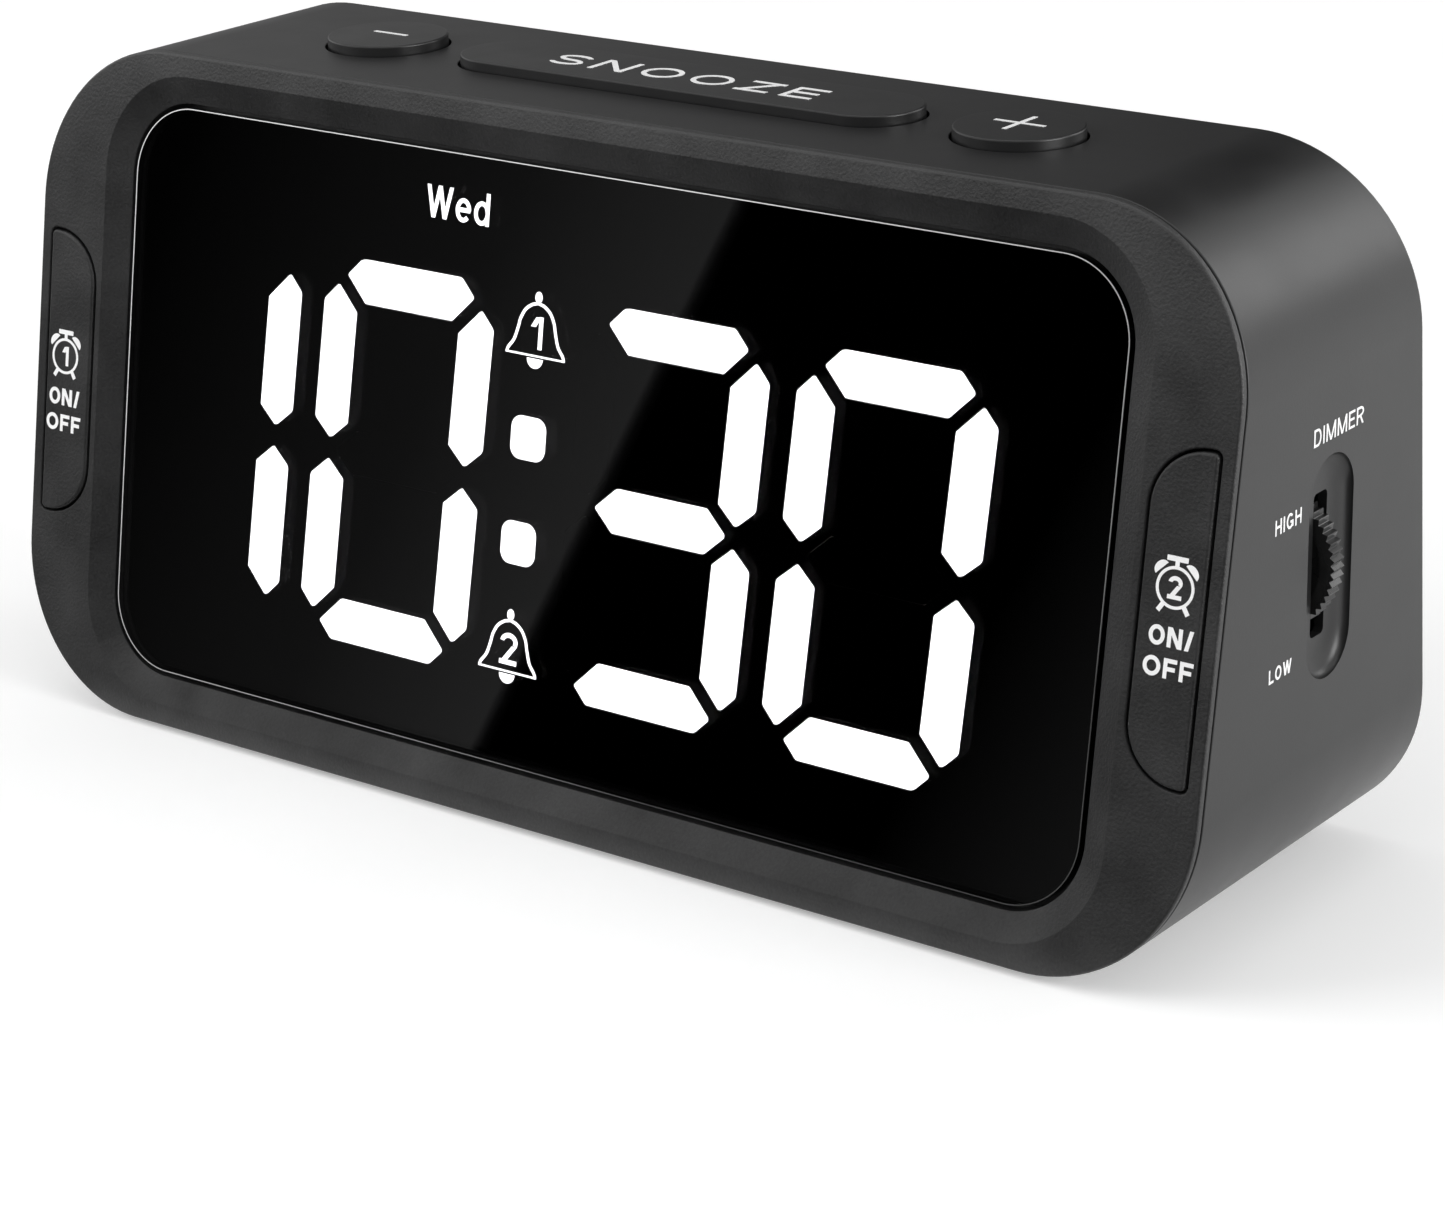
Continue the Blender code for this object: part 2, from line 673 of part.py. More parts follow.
class Clock:
    """Builds each sub-assembly of the clock."""

    def __init__(self):
        self.make = Builder()
        self.case_black = material("case_black", (0.028, 0.028, 0.03), 0.55)
        self.key_black = material("key_black", (0.022, 0.022, 0.024), 0.5)
        self.lens_smoke = material("lens_smoke", (0.01, 0.01, 0.012), 0.05)
        self.mask_black = material("mask_black", (0.005, 0.005, 0.005), 0.8)
        self.diffuser_white = material("diffuser_white", (0.9, 0.9, 0.9), 0.6)
        self.reflector_white = material("reflector_white", (0.8, 0.8, 0.78), 0.5)
        self.board_green = material("board_green", (0.02, 0.16, 0.06), 0.45)
        self.switch_black = material("switch_black", (0.03, 0.03, 0.03), 0.5)
        self.foot_rubber = material("foot_rubber", (0.02, 0.02, 0.02), 0.9)
        self.screw_steel = material("screw_steel", (0.55, 0.55, 0.56), 0.35, 1.0)
        self.spring_steel = material("spring_steel", (0.7, 0.7, 0.7), 0.3, 1.0)
        self.cell_wrap = material("cell_wrap", (0.08, 0.2, 0.42), 0.4)
        self.cable_grey = material("cable_grey", (0.45, 0.45, 0.45), 0.6)
        self.jack_black = material("jack_black", (0.02, 0.02, 0.02), 0.4)

    def front_bezel(self):
        """The front frame: a thin rim level with the case, and a thicker plate that plugs into it."""
        make = self.make
        bezel = self.slice("front_bezel", 0.0, 0.0, RIM_THICKNESS, self.case_black)
        make.join(bezel, self.slice("bezel_plug", REBATE_WALL + GAP, RIM_THICKNESS / 2, PLATE_THICKNESS))
        for x in (-DISPLAY_POST_X, DISPLAY_POST_X):
            for side in (-1, 1):
                post = make.plate(
                    "bezel_post",
                    [circle(POST_RADIUS, (x, FACE_MIDDLE + side * DISPLAY_POST_UP), SMALL_STEPS)],
                    PLATE_THICKNESS - OVERLAP,
                    DISPLAY_BOARD_FRONT - GAP,
                    frame=make.face,
                )
                make.join(bezel, post)
        wide = WIDTH - 2 * RECESS_SIDE_MARGIN
        tall = FACE_HEIGHT - 2 * RECESS_END_MARGIN
        slope = CHAMFER_WIDTH / CHAMFER_DEPTH
        middle = (0.0, FACE_MIDDLE)
        flare = OVERLAP * slope
        outer = rectangle(wide + 2 * flare, tall + 2 * flare, RECESS_RADIUS + flare, middle)
        inner = rectangle(POCKET_WIDTH, POCKET_HEIGHT, POCKET_RADIUS, middle)
        aperture = rectangle(APERTURE_WIDTH, APERTURE_HEIGHT, APERTURE_RADIUS, middle)
        make.cut(
            bezel,
            make.loft("recess_cut", outer, -OVERLAP, inner, CHAMFER_DEPTH, make.face),
            make.plate("lens_pocket_cut", [inner], CHAMFER_DEPTH - 0.01, MASK_FRONT, frame=make.face),
            make.plate("aperture_cut", [aperture], -BEYOND, BEYOND, frame=make.face),
        )
        for hand in (-1, 1):
            outline = moved(side_key_outline(hand, KEY_GAP), 0.0, FACE_MIDDLE)
            make.cut(bezel, make.plate("side_key_cut", [outline], -BEYOND, BEYOND, frame=make.face))
            self.open_plug_side(bezel, hand)
            for side in (-1, 1):
                centre = (hand * DISPLAY_POST_X, FACE_MIDDLE + side * DISPLAY_POST_UP)
                hole = [circle(SCREW_HOLE_RADIUS, centre, SMALL_STEPS)]
                start = PLATE_THICKNESS + SCREW_GAP
                make.cut(bezel, make.plate("post_hole", hole, start, start + 2 * BEYOND, frame=make.face))

    def slice(self, name, inset, near, far, finish=None):
        """What two planes parallel to the face leave of the case's section."""
        make = self.make
        reach = BASE_DEPTH
        solid = make.plate(name, [case_section(inset)], -reach, reach, finish=finish)
        size = (2 * WIDTH, far - near, 2 * WIDTH)
        slab = make.box(name + "_slab", size, (0.0, (near + far) / 2, FACE_MIDDLE), make.face)
        make.combine(solid, slab, "INTERSECT")
        return solid

    def open_plug_side(self, bezel, hand):
        """Opens the plug's side behind the rim, where an alarm key's hole would leave a thin skin."""
        make = self.make
        inner = SIDE_KEY_OUTER_X - SIDE_KEY_SMALL_RADIUS
        outer = HALF + BEYOND
        front, back = RIM_THICKNESS, PLATE_THICKNESS + BEYOND
        size = (outer - inner, back - front, SIDE_KEY_HEIGHT + 2 * (KEY_GAP + GAP))
        place = (hand * (inner + outer) / 2, (front + back) / 2, FACE_MIDDLE)
        make.cut(bezel, make.box("plug_side_cut", size, place, make.face))

    def housing(self):
        """The case's sleeve, with its key holes, dimmer dish, screw bosses and foot pockets."""
        make = self.make
        reach = BASE_DEPTH / 2 + BEYOND
        housing = make.plate(
            "housing", [case_section(0.0), case_section(WALL)], -reach, reach, finish=self.case_black
        )
        boss_end = -COVER_BACK - GAP
        boss_start = boss_end - BOSS_LENGTH
        for centre in self.boss_places():
            boss = [circle(BOSS_RADIUS, centre, SMALL_STEPS)]
            hole = [circle(SCREW_HOLE_RADIUS, centre, SMALL_STEPS)]
            make.join(housing, make.plate("boss", boss, boss_start, boss_end, frame=make.back))
            make.cut(housing, make.plate("boss_hole", hole, boss_start + OVERLAP, BEYOND, frame=make.back))
        for x in (-TOP_POST_X, TOP_POST_X):
            post = [circle(POST_RADIUS, (x, KEY_Y), SMALL_STEPS)]
            hole = [circle(SCREW_HOLE_RADIUS, (x, KEY_Y), SMALL_STEPS)]
            make.join(housing, make.plate("top_post", post, TOP_BOARD_TOP + GAP, TOP_Z - WALL / 2, axis="Z"))
            hole_top = TOP_BOARD_TOP + GAP + BOARD_SCREW_LENGTH
            make.cut(housing, make.plate("top_post_hole", hole, TOP_BOARD_TOP - GAP, hole_top, axis="Z"))
        rib_place = (HALF - WALL / 2 - RIB_WIDTH / 2, DIMMER_BOARD_Y - GAP - RIB_DEPTH / 2, self.rib_z())
        make.join(housing, make.box("dimmer_rib", (RIB_WIDTH, RIB_DEPTH, RIB_HEIGHT), rib_place))
        trim = 4 * BASE_DEPTH
        far = 3 * WIDTH
        front_trim = (0.0, HOUSING_START - trim / 2, FACE_MIDDLE)
        make.cut(
            housing,
            make.box("front_trim", (far, trim, far), front_trim, make.face),
            make.box("back_trim", (far, trim, far), (0.0, trim / 2, BACK_HEIGHT / 2), make.back),
            self.slice("rebate_cut", REBATE_WALL, -BEYOND, REBATE_DEPTH),
        )
        self.cut_top_holes(housing)
        self.cut_dish(housing)
        for x in (-FOOT_X, FOOT_X):
            for y in (-FOOT_Y, FOOT_Y):
                pocket = [circle(FOOT_DIAMETER / 2 + GAP, (x, y))]
                depth = FOOT_PROUD + FOOT_POCKET
                make.cut(housing, make.plate("foot_pocket", pocket, -BEYOND, depth, axis="Z"))

    def rib_z(self):
        """The middle height of the rib that holds the dimmer's board."""
        return DIMMER_Z + DIMMER_BOARD_HIGH - RIB_HEIGHT / 2

    def cut_top_holes(self, housing):
        make = self.make
        low, high = TOP_Z - 2 * WALL, TOP_Z + BEYOND
        snooze = moved(stadium(SNOOZE_LENGTH, SNOOZE_WIDTH, KEY_GAP), 0.0, KEY_Y)
        make.cut(housing, make.plate("snooze_hole", [snooze], low, high, axis="Z"))
        for x in (-ROUND_KEY_X, ROUND_KEY_X):
            hole = [circle(ROUND_KEY_DIAMETER / 2 + KEY_GAP, (x, KEY_Y))]
            make.cut(housing, make.plate("round_key_hole", hole, low, high, axis="Z"))

    def cut_dish(self, housing):
        """The scooped dish and the slot that the wheel stands out of."""
        make = self.make
        scoop = ((DISH_WIDTH / 2) ** 2 + DISH_DEPTH**2) / (2 * DISH_DEPTH)
        straight = (DISH_HEIGHT - DISH_WIDTH) / 2
        steps = DISH_STEPS
        profile = []
        for side in (1, -1):
            for i in range(steps + 1):
                angle = math.pi / 2 * (i / steps if side > 0 else 1 - i / steps)
                profile.append((scoop * math.sin(angle), side * (straight + scoop * math.cos(angle))))
        place = (HALF - DISH_DEPTH + scoop, DIMMER_Y, DIMMER_Z)
        dish = make.turned("dish_cut", profile, place, steps=4 * steps)
        slot = make.box("slot_cut", (4 * WALL, SLOT_WIDTH, SLOT_HEIGHT), (HALF, DIMMER_Y, DIMMER_Z))
        make.cut(housing, dish, slot)

    def feet(self):
        make = self.make
        radius = FOOT_DIAMETER / 2
        top = FOOT_PROUD + FOOT_POCKET - GAP
        number = 1
        for y in (-FOOT_Y, FOOT_Y):
            for x in (-FOOT_X, FOOT_X):
                outline = [circle(radius, (0.0, 0.0))]
                place = (x, y, 0.0)
                make.plate(f"foot_{number}", outline, 0.0, top, place, finish=self.foot_rubber, axis="Z")
                number += 1

    def display(self):
        """The lens, the mask, the digits' light guides, the reflector and the board behind them."""
        make = self.make
        middle = (0.0, FACE_MIDDLE)
        lens = rectangle(LENS_WIDTH, LENS_HEIGHT, LENS_RADIUS, middle)
        make.plate("display_lens", [lens], LENS_FRONT, LENS_BACK, frame=make.face, finish=self.lens_smoke)
        windows = []
        for offset, names in zip(DIGIT_OFFSETS, DIGIT_BARS):
            bars = digit_outlines(WINDOW_GROWTH, names)
            windows += [moved(bar, DISPLAY_CENTRE_X + offset, DISPLAY_CENTRE_UP) for bar in bars]
        marks = marks_outlines(WINDOW_GROWTH) + [weekday_outline(WINDOW_GROWTH)]
        windows += [moved(mark, DISPLAY_CENTRE_X, DISPLAY_CENTRE_UP) for mark in marks]
        mask = rectangle(MASK_WIDTH, MASK_HEIGHT, MASK_RADIUS, middle)
        outlines = [mask] + windows
        make.plate("display_mask", outlines, MASK_FRONT, MASK_BACK, frame=make.face, finish=self.mask_black)
        for number, (offset, names) in enumerate(zip(DIGIT_OFFSETS, DIGIT_BARS), 1):
            bars = digit_outlines(0.0, names)
            name = f"digit_{number}_light_guide"
            self.light_guide(name, digit_base(names), bars, DISPLAY_CENTRE_X + offset)
        guide = self.marks_base()
        marks = marks_outlines(0.0) + [weekday_outline(0.0)]
        self.light_guide("marks_light_guide", guide, marks, DISPLAY_CENTRE_X)
        self.reflector()
        board = rectangle(DISPLAY_BOARD_WIDTH, DISPLAY_BOARD_HEIGHT, DISPLAY_BOARD_RADIUS, middle)
        holes = []
        for x in (-DISPLAY_POST_X, DISPLAY_POST_X):
            for side in (-1, 1):
                centre = (x, FACE_MIDDLE + side * DISPLAY_POST_UP)
                holes.append(circle(SCREW_HOLE_RADIUS, centre, SMALL_STEPS))
        make.plate(
            "display_board",
            [board] + holes,
            DISPLAY_BOARD_FRONT,
            DISPLAY_BOARD_BACK,
            frame=make.face,
            finish=self.board_green,
        )
        number = 1
        for side in (-1, 1):
            for x in (-DISPLAY_POST_X, DISPLAY_POST_X):
                place = (x, DISPLAY_BOARD_BACK + GAP, FACE_MIDDLE + side * DISPLAY_POST_UP)
                self.screw(f"display_screw_{number}", place, make.face, "-Y", BOARD_SCREW_LENGTH)
                number += 1

    def marks_base(self):
        """The outline of the plate behind the colon, the alarm marks and the weekday: a T."""
        half = ICON_SIZE / 2 + CELL_MARGIN
        low = -ICON_SPREAD / 2 - half
        shoulder = DIGIT_HEIGHT / 2 + CELL_MARGIN + GAP
        top = WEEKDAY_RISE + WEEKDAY_HEIGHT / 2 + CELL_MARGIN
        left = -WEEKDAY_LEFT - CELL_MARGIN
        corners = [(-half, low), (half, low), (half, top), (left, top), (left, shoulder), (-half, shoulder)]
        return filleted([(x, up, 0.0) for x, up in corners])

    def light_guide(self, name, base, bars, x):
        """A diffuser plate whose raised bars reach through the mask's windows."""
        make = self.make
        place = (x, 0.0, DISPLAY_CENTRE_UP)
        finish = self.diffuser_white
        guide = make.plate(name, [base], DIFFUSER_FRONT, DIFFUSER_BACK, place, make.face, finish)
        foot = DIFFUSER_FRONT + DIFFUSER_BASE / 2
        make.join(guide, make.plate(name + "_bars", bars, MASK_FRONT, foot, place, make.face))

    def reflector(self):
        """The white frame that keeps each digit's light apart."""
        make = self.make
        height = DIGIT_HEIGHT + 2 * REFLECTOR_MARGIN
        frame_outline = rectangle(MASK_WIDTH, height, 2.0, (0.0, DISPLAY_CENTRE_UP), 4)
        cells = []
        for offset, names in zip(DIGIT_OFFSETS, DIGIT_BARS):
            cells.append(moved(digit_base(names), DISPLAY_CENTRE_X + offset, DISPLAY_CENTRE_UP))
        column = rectangle(ICON_SIZE, ICON_SPREAD + ICON_SIZE, 0.5, (DISPLAY_CENTRE_X, DISPLAY_CENTRE_UP), 2)
        make.plate(
            "reflector_frame",
            [frame_outline] + cells + [column],
            REFLECTOR_FRONT,
            REFLECTOR_BACK,
            frame=make.face,
            finish=self.reflector_white,
        )

    def screw(self, name, place, frame, direction, length):
        """A pan-head screw whose shank points along a direction from the underside of its head."""
        profile = [
            (0.0, HEAD_THICKNESS),
            (HEAD_RADIUS * 0.8, HEAD_THICKNESS),
            (HEAD_RADIUS, HEAD_THICKNESS / 2),
            (HEAD_RADIUS, 0.0),
            (SCREW_RADIUS, 0.0),
            (SCREW_RADIUS, -length + SCREW_RADIUS),
            (0.0, -length),
        ]
        obj = self.make.turned(name, profile, place, frame, self.screw_steel, steps=SCREW_STEPS)
        turns = {"-Y": math.radians(-90), "+Z": math.radians(180)}
        obj.rotation_euler.x = turns[direction]
        return obj

    def switch(self, name, place, frame, towards, size, height):
        """A push switch: a square body with its round plunger towards the key."""
        make = self.make
        plunger = 0.75
        body_height = height - plunger
        signs = {"+Z": ("Z", 1), "-Y": ("Y", -1), "+Y": ("Y", 1)}
        axis, sign = signs[towards]
        low, high = sorted((0.0, sign * body_height))
        tip_low, tip_high = sorted((sign * body_height / 2, sign * height))
        square = [rectangle(size, size, 0.5, steps=2)]
        body = make.plate(name, square, low, high, place, frame, self.switch_black, axis)
        pin = [circle(1.7, steps=SMALL_STEPS)]
        make.join(body, make.plate(name + "_plunger", pin, tip_low, tip_high, place, frame, axis=axis))

    def top_keys(self):
        """The minus, snooze and plus keys, their switches and the board that holds them."""
        make = self.make
        cap_top = TOP_Z + KEY_PROUD
        round_cap = circle(ROUND_KEY_DIAMETER / 2)
        round_flange = circle(ROUND_KEY_DIAMETER / 2 + KEY_FLANGE)
        long_cap = stadium(SNOOZE_LENGTH, SNOOZE_WIDTH)
        long_flange = stadium(SNOOZE_LENGTH, SNOOZE_WIDTH, KEY_FLANGE)
        keys = {
            "minus_key": (-ROUND_KEY_X, round_cap, round_flange),
            "snooze_key": (0.0, long_cap, long_flange),
            "plus_key": (ROUND_KEY_X, round_cap, round_flange),
        }
        flange_low = KEY_FLANGE_TOP - FLANGE_THICKNESS
        for name, (x, cap, flange) in keys.items():
            place = (x, KEY_Y, cap_top)
            low = flange_low - cap_top
            high = KEY_FLANGE_TOP - cap_top
            middle = (low + high) / 2
            key = make.plate(name, [cap], middle, 0.0, place, finish=self.key_black, axis="Z")
            stem = [circle(STEM_DIAMETER / 2, steps=SMALL_STEPS)]
            make.join(
                key,
                make.plate(name + "_flange", [flange], low, high, place, axis="Z"),
                make.plate(name + "_stem", stem, STEM_END - cap_top, middle, place, axis="Z"),
            )
            switch_place = (x, KEY_Y, TOP_BOARD_TOP + GAP)
            switch_name = name.replace("key", "switch")
            self.switch(switch_name, switch_place, None, "+Z", 6.0, TOP_SWITCH_HEIGHT)
        middle = KEY_Y + (TOP_BOARD_BACK - TOP_BOARD_FRONT) / 2
        board = [rectangle(TOP_BOARD_WIDTH, TOP_BOARD_FRONT + TOP_BOARD_BACK, 1.0, (0.0, middle), 3)]
        board += [circle(SCREW_HOLE_RADIUS, (x, KEY_Y), SMALL_STEPS) for x in (-TOP_POST_X, TOP_POST_X)]
        board_low = TOP_BOARD_TOP - TOP_BOARD_THICKNESS
        make.plate("top_key_board", board, board_low, TOP_BOARD_TOP, finish=self.board_green, axis="Z")
        for number, x in enumerate((-TOP_POST_X, TOP_POST_X), 1):
            place = (x, KEY_Y, board_low - GAP)
            self.screw(f"top_board_screw_{number}", place, None, "+Z", BOARD_SCREW_LENGTH)

    def side_keys(self):
        """The two alarm keys on the face, with their switches on the display's board."""
        make = self.make
        for name, hand in (("alarm_1_key", -1), ("alarm_2_key", 1)):
            place = (0.0, 0.0, FACE_MIDDLE)
            cap = side_key_outline(hand, 0.0)
            flange = side_key_outline(hand, 0.0, SIDE_FLANGE_REACH, 0.0)
            flange_back = SIDE_FLANGE_FRONT + SIDE_FLANGE
            middle = (SIDE_FLANGE_FRONT + flange_back) / 2
            key = make.plate(name, [cap], -SIDE_KEY_PROUD, middle, place, make.face, self.key_black)
            front = SIDE_FLANGE_FRONT
            make.join(key, make.plate(name + "_flange", [flange], front, flange_back, place, make.face))
            switch_place = (hand * SIDE_SWITCH_X, REFLECTOR_BACK, FACE_MIDDLE)
            height = REFLECTOR_BACK - SIDE_SWITCH_FRONT
            switch_name = name.replace("key", "switch")
            self.switch(switch_name, switch_place, make.face, "-Y", SIDE_SWITCH_SIZE, height)

    def dimmer(self):
        """The thumbwheel with its spindle, the potentiometer that it turns and their small board."""
        make = self.make
        place = (WHEEL_X, DIMMER_Y, DIMMER_Z)
        rim = []
        for i in range(WHEEL_TEETH):
            angle = 2 * math.pi * i / WHEEL_TEETH
            step = 2 * math.pi / WHEEL_TEETH
            for share, radius in ((0.0, WHEEL_RADIUS - TOOTH_DEPTH), (0.5, WHEEL_RADIUS)):
                turn = angle + share * step
                rim.append((radius * math.cos(turn), radius * math.sin(turn)))
        half = WHEEL_THICKNESS / 2
        wheel = make.plate("dimmer_wheel", [rim], -half, half, place, finish=self.key_black)
        pin = [circle(SPINDLE_DIAMETER / 2, steps=SMALL_STEPS)]
        spindle = make.plate("wheel_spindle", pin, 0.0, half + GAP + SPINDLE_LENGTH, place)
        make.join(wheel, spindle)
        body = [rectangle(POT_SIZE, POT_HEIGHT, 0.5, steps=2)]
        pot_place = (WHEEL_X, POT_FRONT_Y, DIMMER_Z)
        name = "dimmer_potentiometer"
        pot = make.plate(name, body, 0.0, POT_THICKNESS, pot_place, finish=self.switch_black)
        bore = [circle(SPINDLE_DIAMETER / 2 + BEARING_GAP, steps=SMALL_STEPS)]
        make.cut(pot, make.plate("pot_bore", bore, -OVERLAP, SPINDLE_LENGTH + GAP, pot_place))
        board_x = HALF - WALL - 2 * GAP - DIMMER_BOARD_WIDTH / 2
        low, high = DIMMER_Z - DIMMER_BOARD_LOW, DIMMER_Z + DIMMER_BOARD_HIGH
        outline = rectangle(DIMMER_BOARD_WIDTH, high - low, 0.5, (board_x, (low + high) / 2), 2)
        board_back = DIMMER_BOARD_Y + DIMMER_BOARD_THICKNESS
        make.plate("dimmer_board", [outline], DIMMER_BOARD_Y, board_back, finish=self.board_green)

    def back_cover(self):
        """The cover that closes the back, with its key holes, grille, jack hole and battery opening."""
        make = self.make
        outline = rectangle(COVER_WIDTH, COVER_HEIGHT, COVER_RADIUS, (0.0, COVER_MIDDLE))
        opening = rectangle(OPENING_WIDTH, OPENING_HEIGHT, 0.8, (DOOR_X, DOOR_UP), 3)
        holes = [opening, circle(JACK_NOSE_DIAMETER / 2 + GAP, (JACK_X, JACK_UP), 24)]
        holes += [circle(SET_KEY_DIAMETER / 2 + KEY_GAP, (x, SET_KEY_UP), 24) for x in self.set_key_places()]
        for i in range(GRILLE_SLOTS):
            x = (i - (GRILLE_SLOTS - 1) / 2) * GRILLE_PITCH
            tall = 2 * math.sqrt(GRILLE_RADIUS**2 - x**2)
            centre = (BUZZER_X + x, BUZZER_UP)
            holes.append(rectangle(GRILLE_SLOT_WIDTH, tall, GRILLE_SLOT_WIDTH / 2, centre, 3))
        holes += [circle(SCREW_HOLE_RADIUS, centre, SMALL_STEPS) for centre in self.boss_places()]
        cover = make.plate(
            "back_cover",
            [outline] + holes,
            -COVER_BACK,
            -COVER_INSET,
            frame=make.back,
            finish=self.case_black,
        )
        for centre in self.boss_places():
            head = [circle(HEAD_RADIUS + GAP, centre, SMALL_STEPS)]
            make.cut(cover, make.plate("head_cut", head, -COVER_INSET - COUNTERBORE, BEYOND, frame=make.back))
        for x in (-MAIN_POST_X, MAIN_POST_X):
            centre = (x, MAIN_POST_UP)
            post = [circle(POST_RADIUS, centre, SMALL_STEPS)]
            hole = [circle(SCREW_HOLE_RADIUS, centre, SMALL_STEPS)]
            post_end = MAIN_BOARD_DEPTH - GAP
            root = -COVER_BACK + OVERLAP
            hole_root = -COVER_BACK - SCREW_GAP
            make.join(cover, make.plate("cover_post", post, -post_end, root, frame=make.back))
            make.cut(cover, make.plate("post_hole", hole, -post_end - BEYOND, hole_root, frame=make.back))
        for number, (x, up) in enumerate(self.boss_places(), 1):
            place = (x, -COVER_INSET - COUNTERBORE + GAP, up)
            self.screw(f"case_screw_{number}", place, make.back, "-Y", CASE_SCREW_LENGTH)

    def boss_places(self):
        """The case screws' places on the back, in its frame."""
        rise = BOSS_RISE / math.cos(BACK_LEAN)
        return [(x, BACK_HEIGHT / 2 + side * rise) for side in (-1, 1) for x in (-BOSS_X, BOSS_X)]

    def set_key_places(self):
        return [SET_KEY_CENTRE_X + i * SET_KEY_SPACING for i in (-1, 0, 1)]

    def back_keys(self):
        """The three setting keys on the back and their switches."""
        make = self.make
        names = ("alarm_2_set", "alarm_1_set", "time_set")
        flange_front = COVER_BACK + GAP
        flange_end = flange_front + FLANGE_THICKNESS
        board = MAIN_BOARD_DEPTH - GAP
        switch_tip = flange_end + SET_KEY_TRAVEL + SWITCH_GAP
        for name, x in zip(names, self.set_key_places()):
            place = (x, 0.0, SET_KEY_UP)
            cap = [circle(SET_KEY_DIAMETER / 2, steps=24)]
            flange = [circle(SET_KEY_DIAMETER / 2 + SET_FLANGE, steps=24)]
            outer = SET_KEY_PROUD - COVER_INSET
            middle = -(flange_front + flange_end) / 2
            key = make.plate(name + "_key", cap, middle, outer, place, make.back, self.key_black)
            make.join(key, make.plate(name + "_flange", flange, -flange_end, -flange_front, place, make.back))
            switch_place = (x, -board, SET_KEY_UP)
            self.switch(name + "_switch", switch_place, make.back, "+Y", 6.0, board - switch_tip)

    def main_board(self):
        """The board behind the back cover, with its chip, buzzer and power jack."""
        make = self.make
        wide, step = MAIN_BOARD_HALF_WIDTH, MAIN_BOARD_STEP_X
        corners = [
            (step, MAIN_BOARD_BOTTOM),
            (wide, MAIN_BOARD_BOTTOM),
            (wide, MAIN_BOARD_TOP),
            (-wide, MAIN_BOARD_TOP),
            (-wide, MAIN_BOARD_STEP_UP),
            (step, MAIN_BOARD_STEP_UP),
        ]
        outline = filleted([(x, up, 0.0) for x, up in corners])
        centres = [(x, MAIN_POST_UP) for x in (-MAIN_POST_X, MAIN_POST_X)]
        holes = [circle(SCREW_HOLE_RADIUS, centre, SMALL_STEPS) for centre in centres]
        make.plate(
            "main_board",
            [outline] + holes,
            -MAIN_BOARD_INNER,
            -MAIN_BOARD_DEPTH,
            frame=make.back,
            finish=self.board_green,
        )
        for number, x in enumerate((-MAIN_POST_X, MAIN_POST_X), 1):
            place = (x, -MAIN_BOARD_INNER - GAP, MAIN_POST_UP)
            screw = self.screw(f"main_board_screw_{number}", place, make.back, "-Y", BOARD_SCREW_LENGTH)
            screw.rotation_euler.x = math.radians(90)
        chip_up = (MAIN_BOARD_STEP_UP + MAIN_BOARD_TOP) / 2
        chip_place = (-CHIP_SIZE, -MAIN_BOARD_INNER - GAP - CHIP_HEIGHT / 2, chip_up)
        chip_size = (CHIP_SIZE, CHIP_HEIGHT, CHIP_SIZE)
        make.box("controller_chip", chip_size, chip_place, make.back, self.switch_black)
        buzzer = [circle(BUZZER_DIAMETER / 2), circle(BUZZER_HOLE_DIAMETER / 2, steps=SMALL_STEPS)]
        low = -MAIN_BOARD_DEPTH + GAP
        buzzer_place = (BUZZER_X, 0.0, BUZZER_UP)
        high = low + BUZZER_HEIGHT
        disc = make.plate("buzzer", buzzer[:1], low, high, buzzer_place, make.back, self.switch_black)
        hole_floor = high - BUZZER_HOLE_DEPTH
        make.cut(disc, make.plate("buzzer_hole", buzzer[1:], hole_floor, BEYOND, buzzer_place, make.back))
        self.power_jack(low)

    def power_jack(self, low):
        """The round power inlet, open through the cover, with its centre pin."""
        make = self.make
        place = (JACK_X, 0.0, JACK_UP)
        body_high = -COVER_BACK - GAP
        block = [rectangle(JACK_SIZE, JACK_SIZE, 0.6, steps=2)]
        nose_high = -COVER_INSET - GAP
        jack = make.plate("power_jack", block, low, body_high, place, make.back, self.jack_black)
        nose = [circle(JACK_NOSE_DIAMETER / 2, steps=24)]
        bore = [circle(JACK_BORE_DIAMETER / 2, steps=24)]
        pin = [circle(JACK_PIN_DIAMETER / 2, steps=SMALL_STEPS)]
        floor = nose_high - JACK_BORE_DEPTH
        make.join(jack, make.plate("jack_nose", nose, body_high - OVERLAP, nose_high, place, make.back))
        make.cut(jack, make.plate("jack_bore", bore, floor, BEYOND, place, make.back))
        pin_low, pin_high = floor - OVERLAP / 2, nose_high - OVERLAP
        make.join(jack, make.plate("jack_pin", pin, pin_low, pin_high, place, make.back))

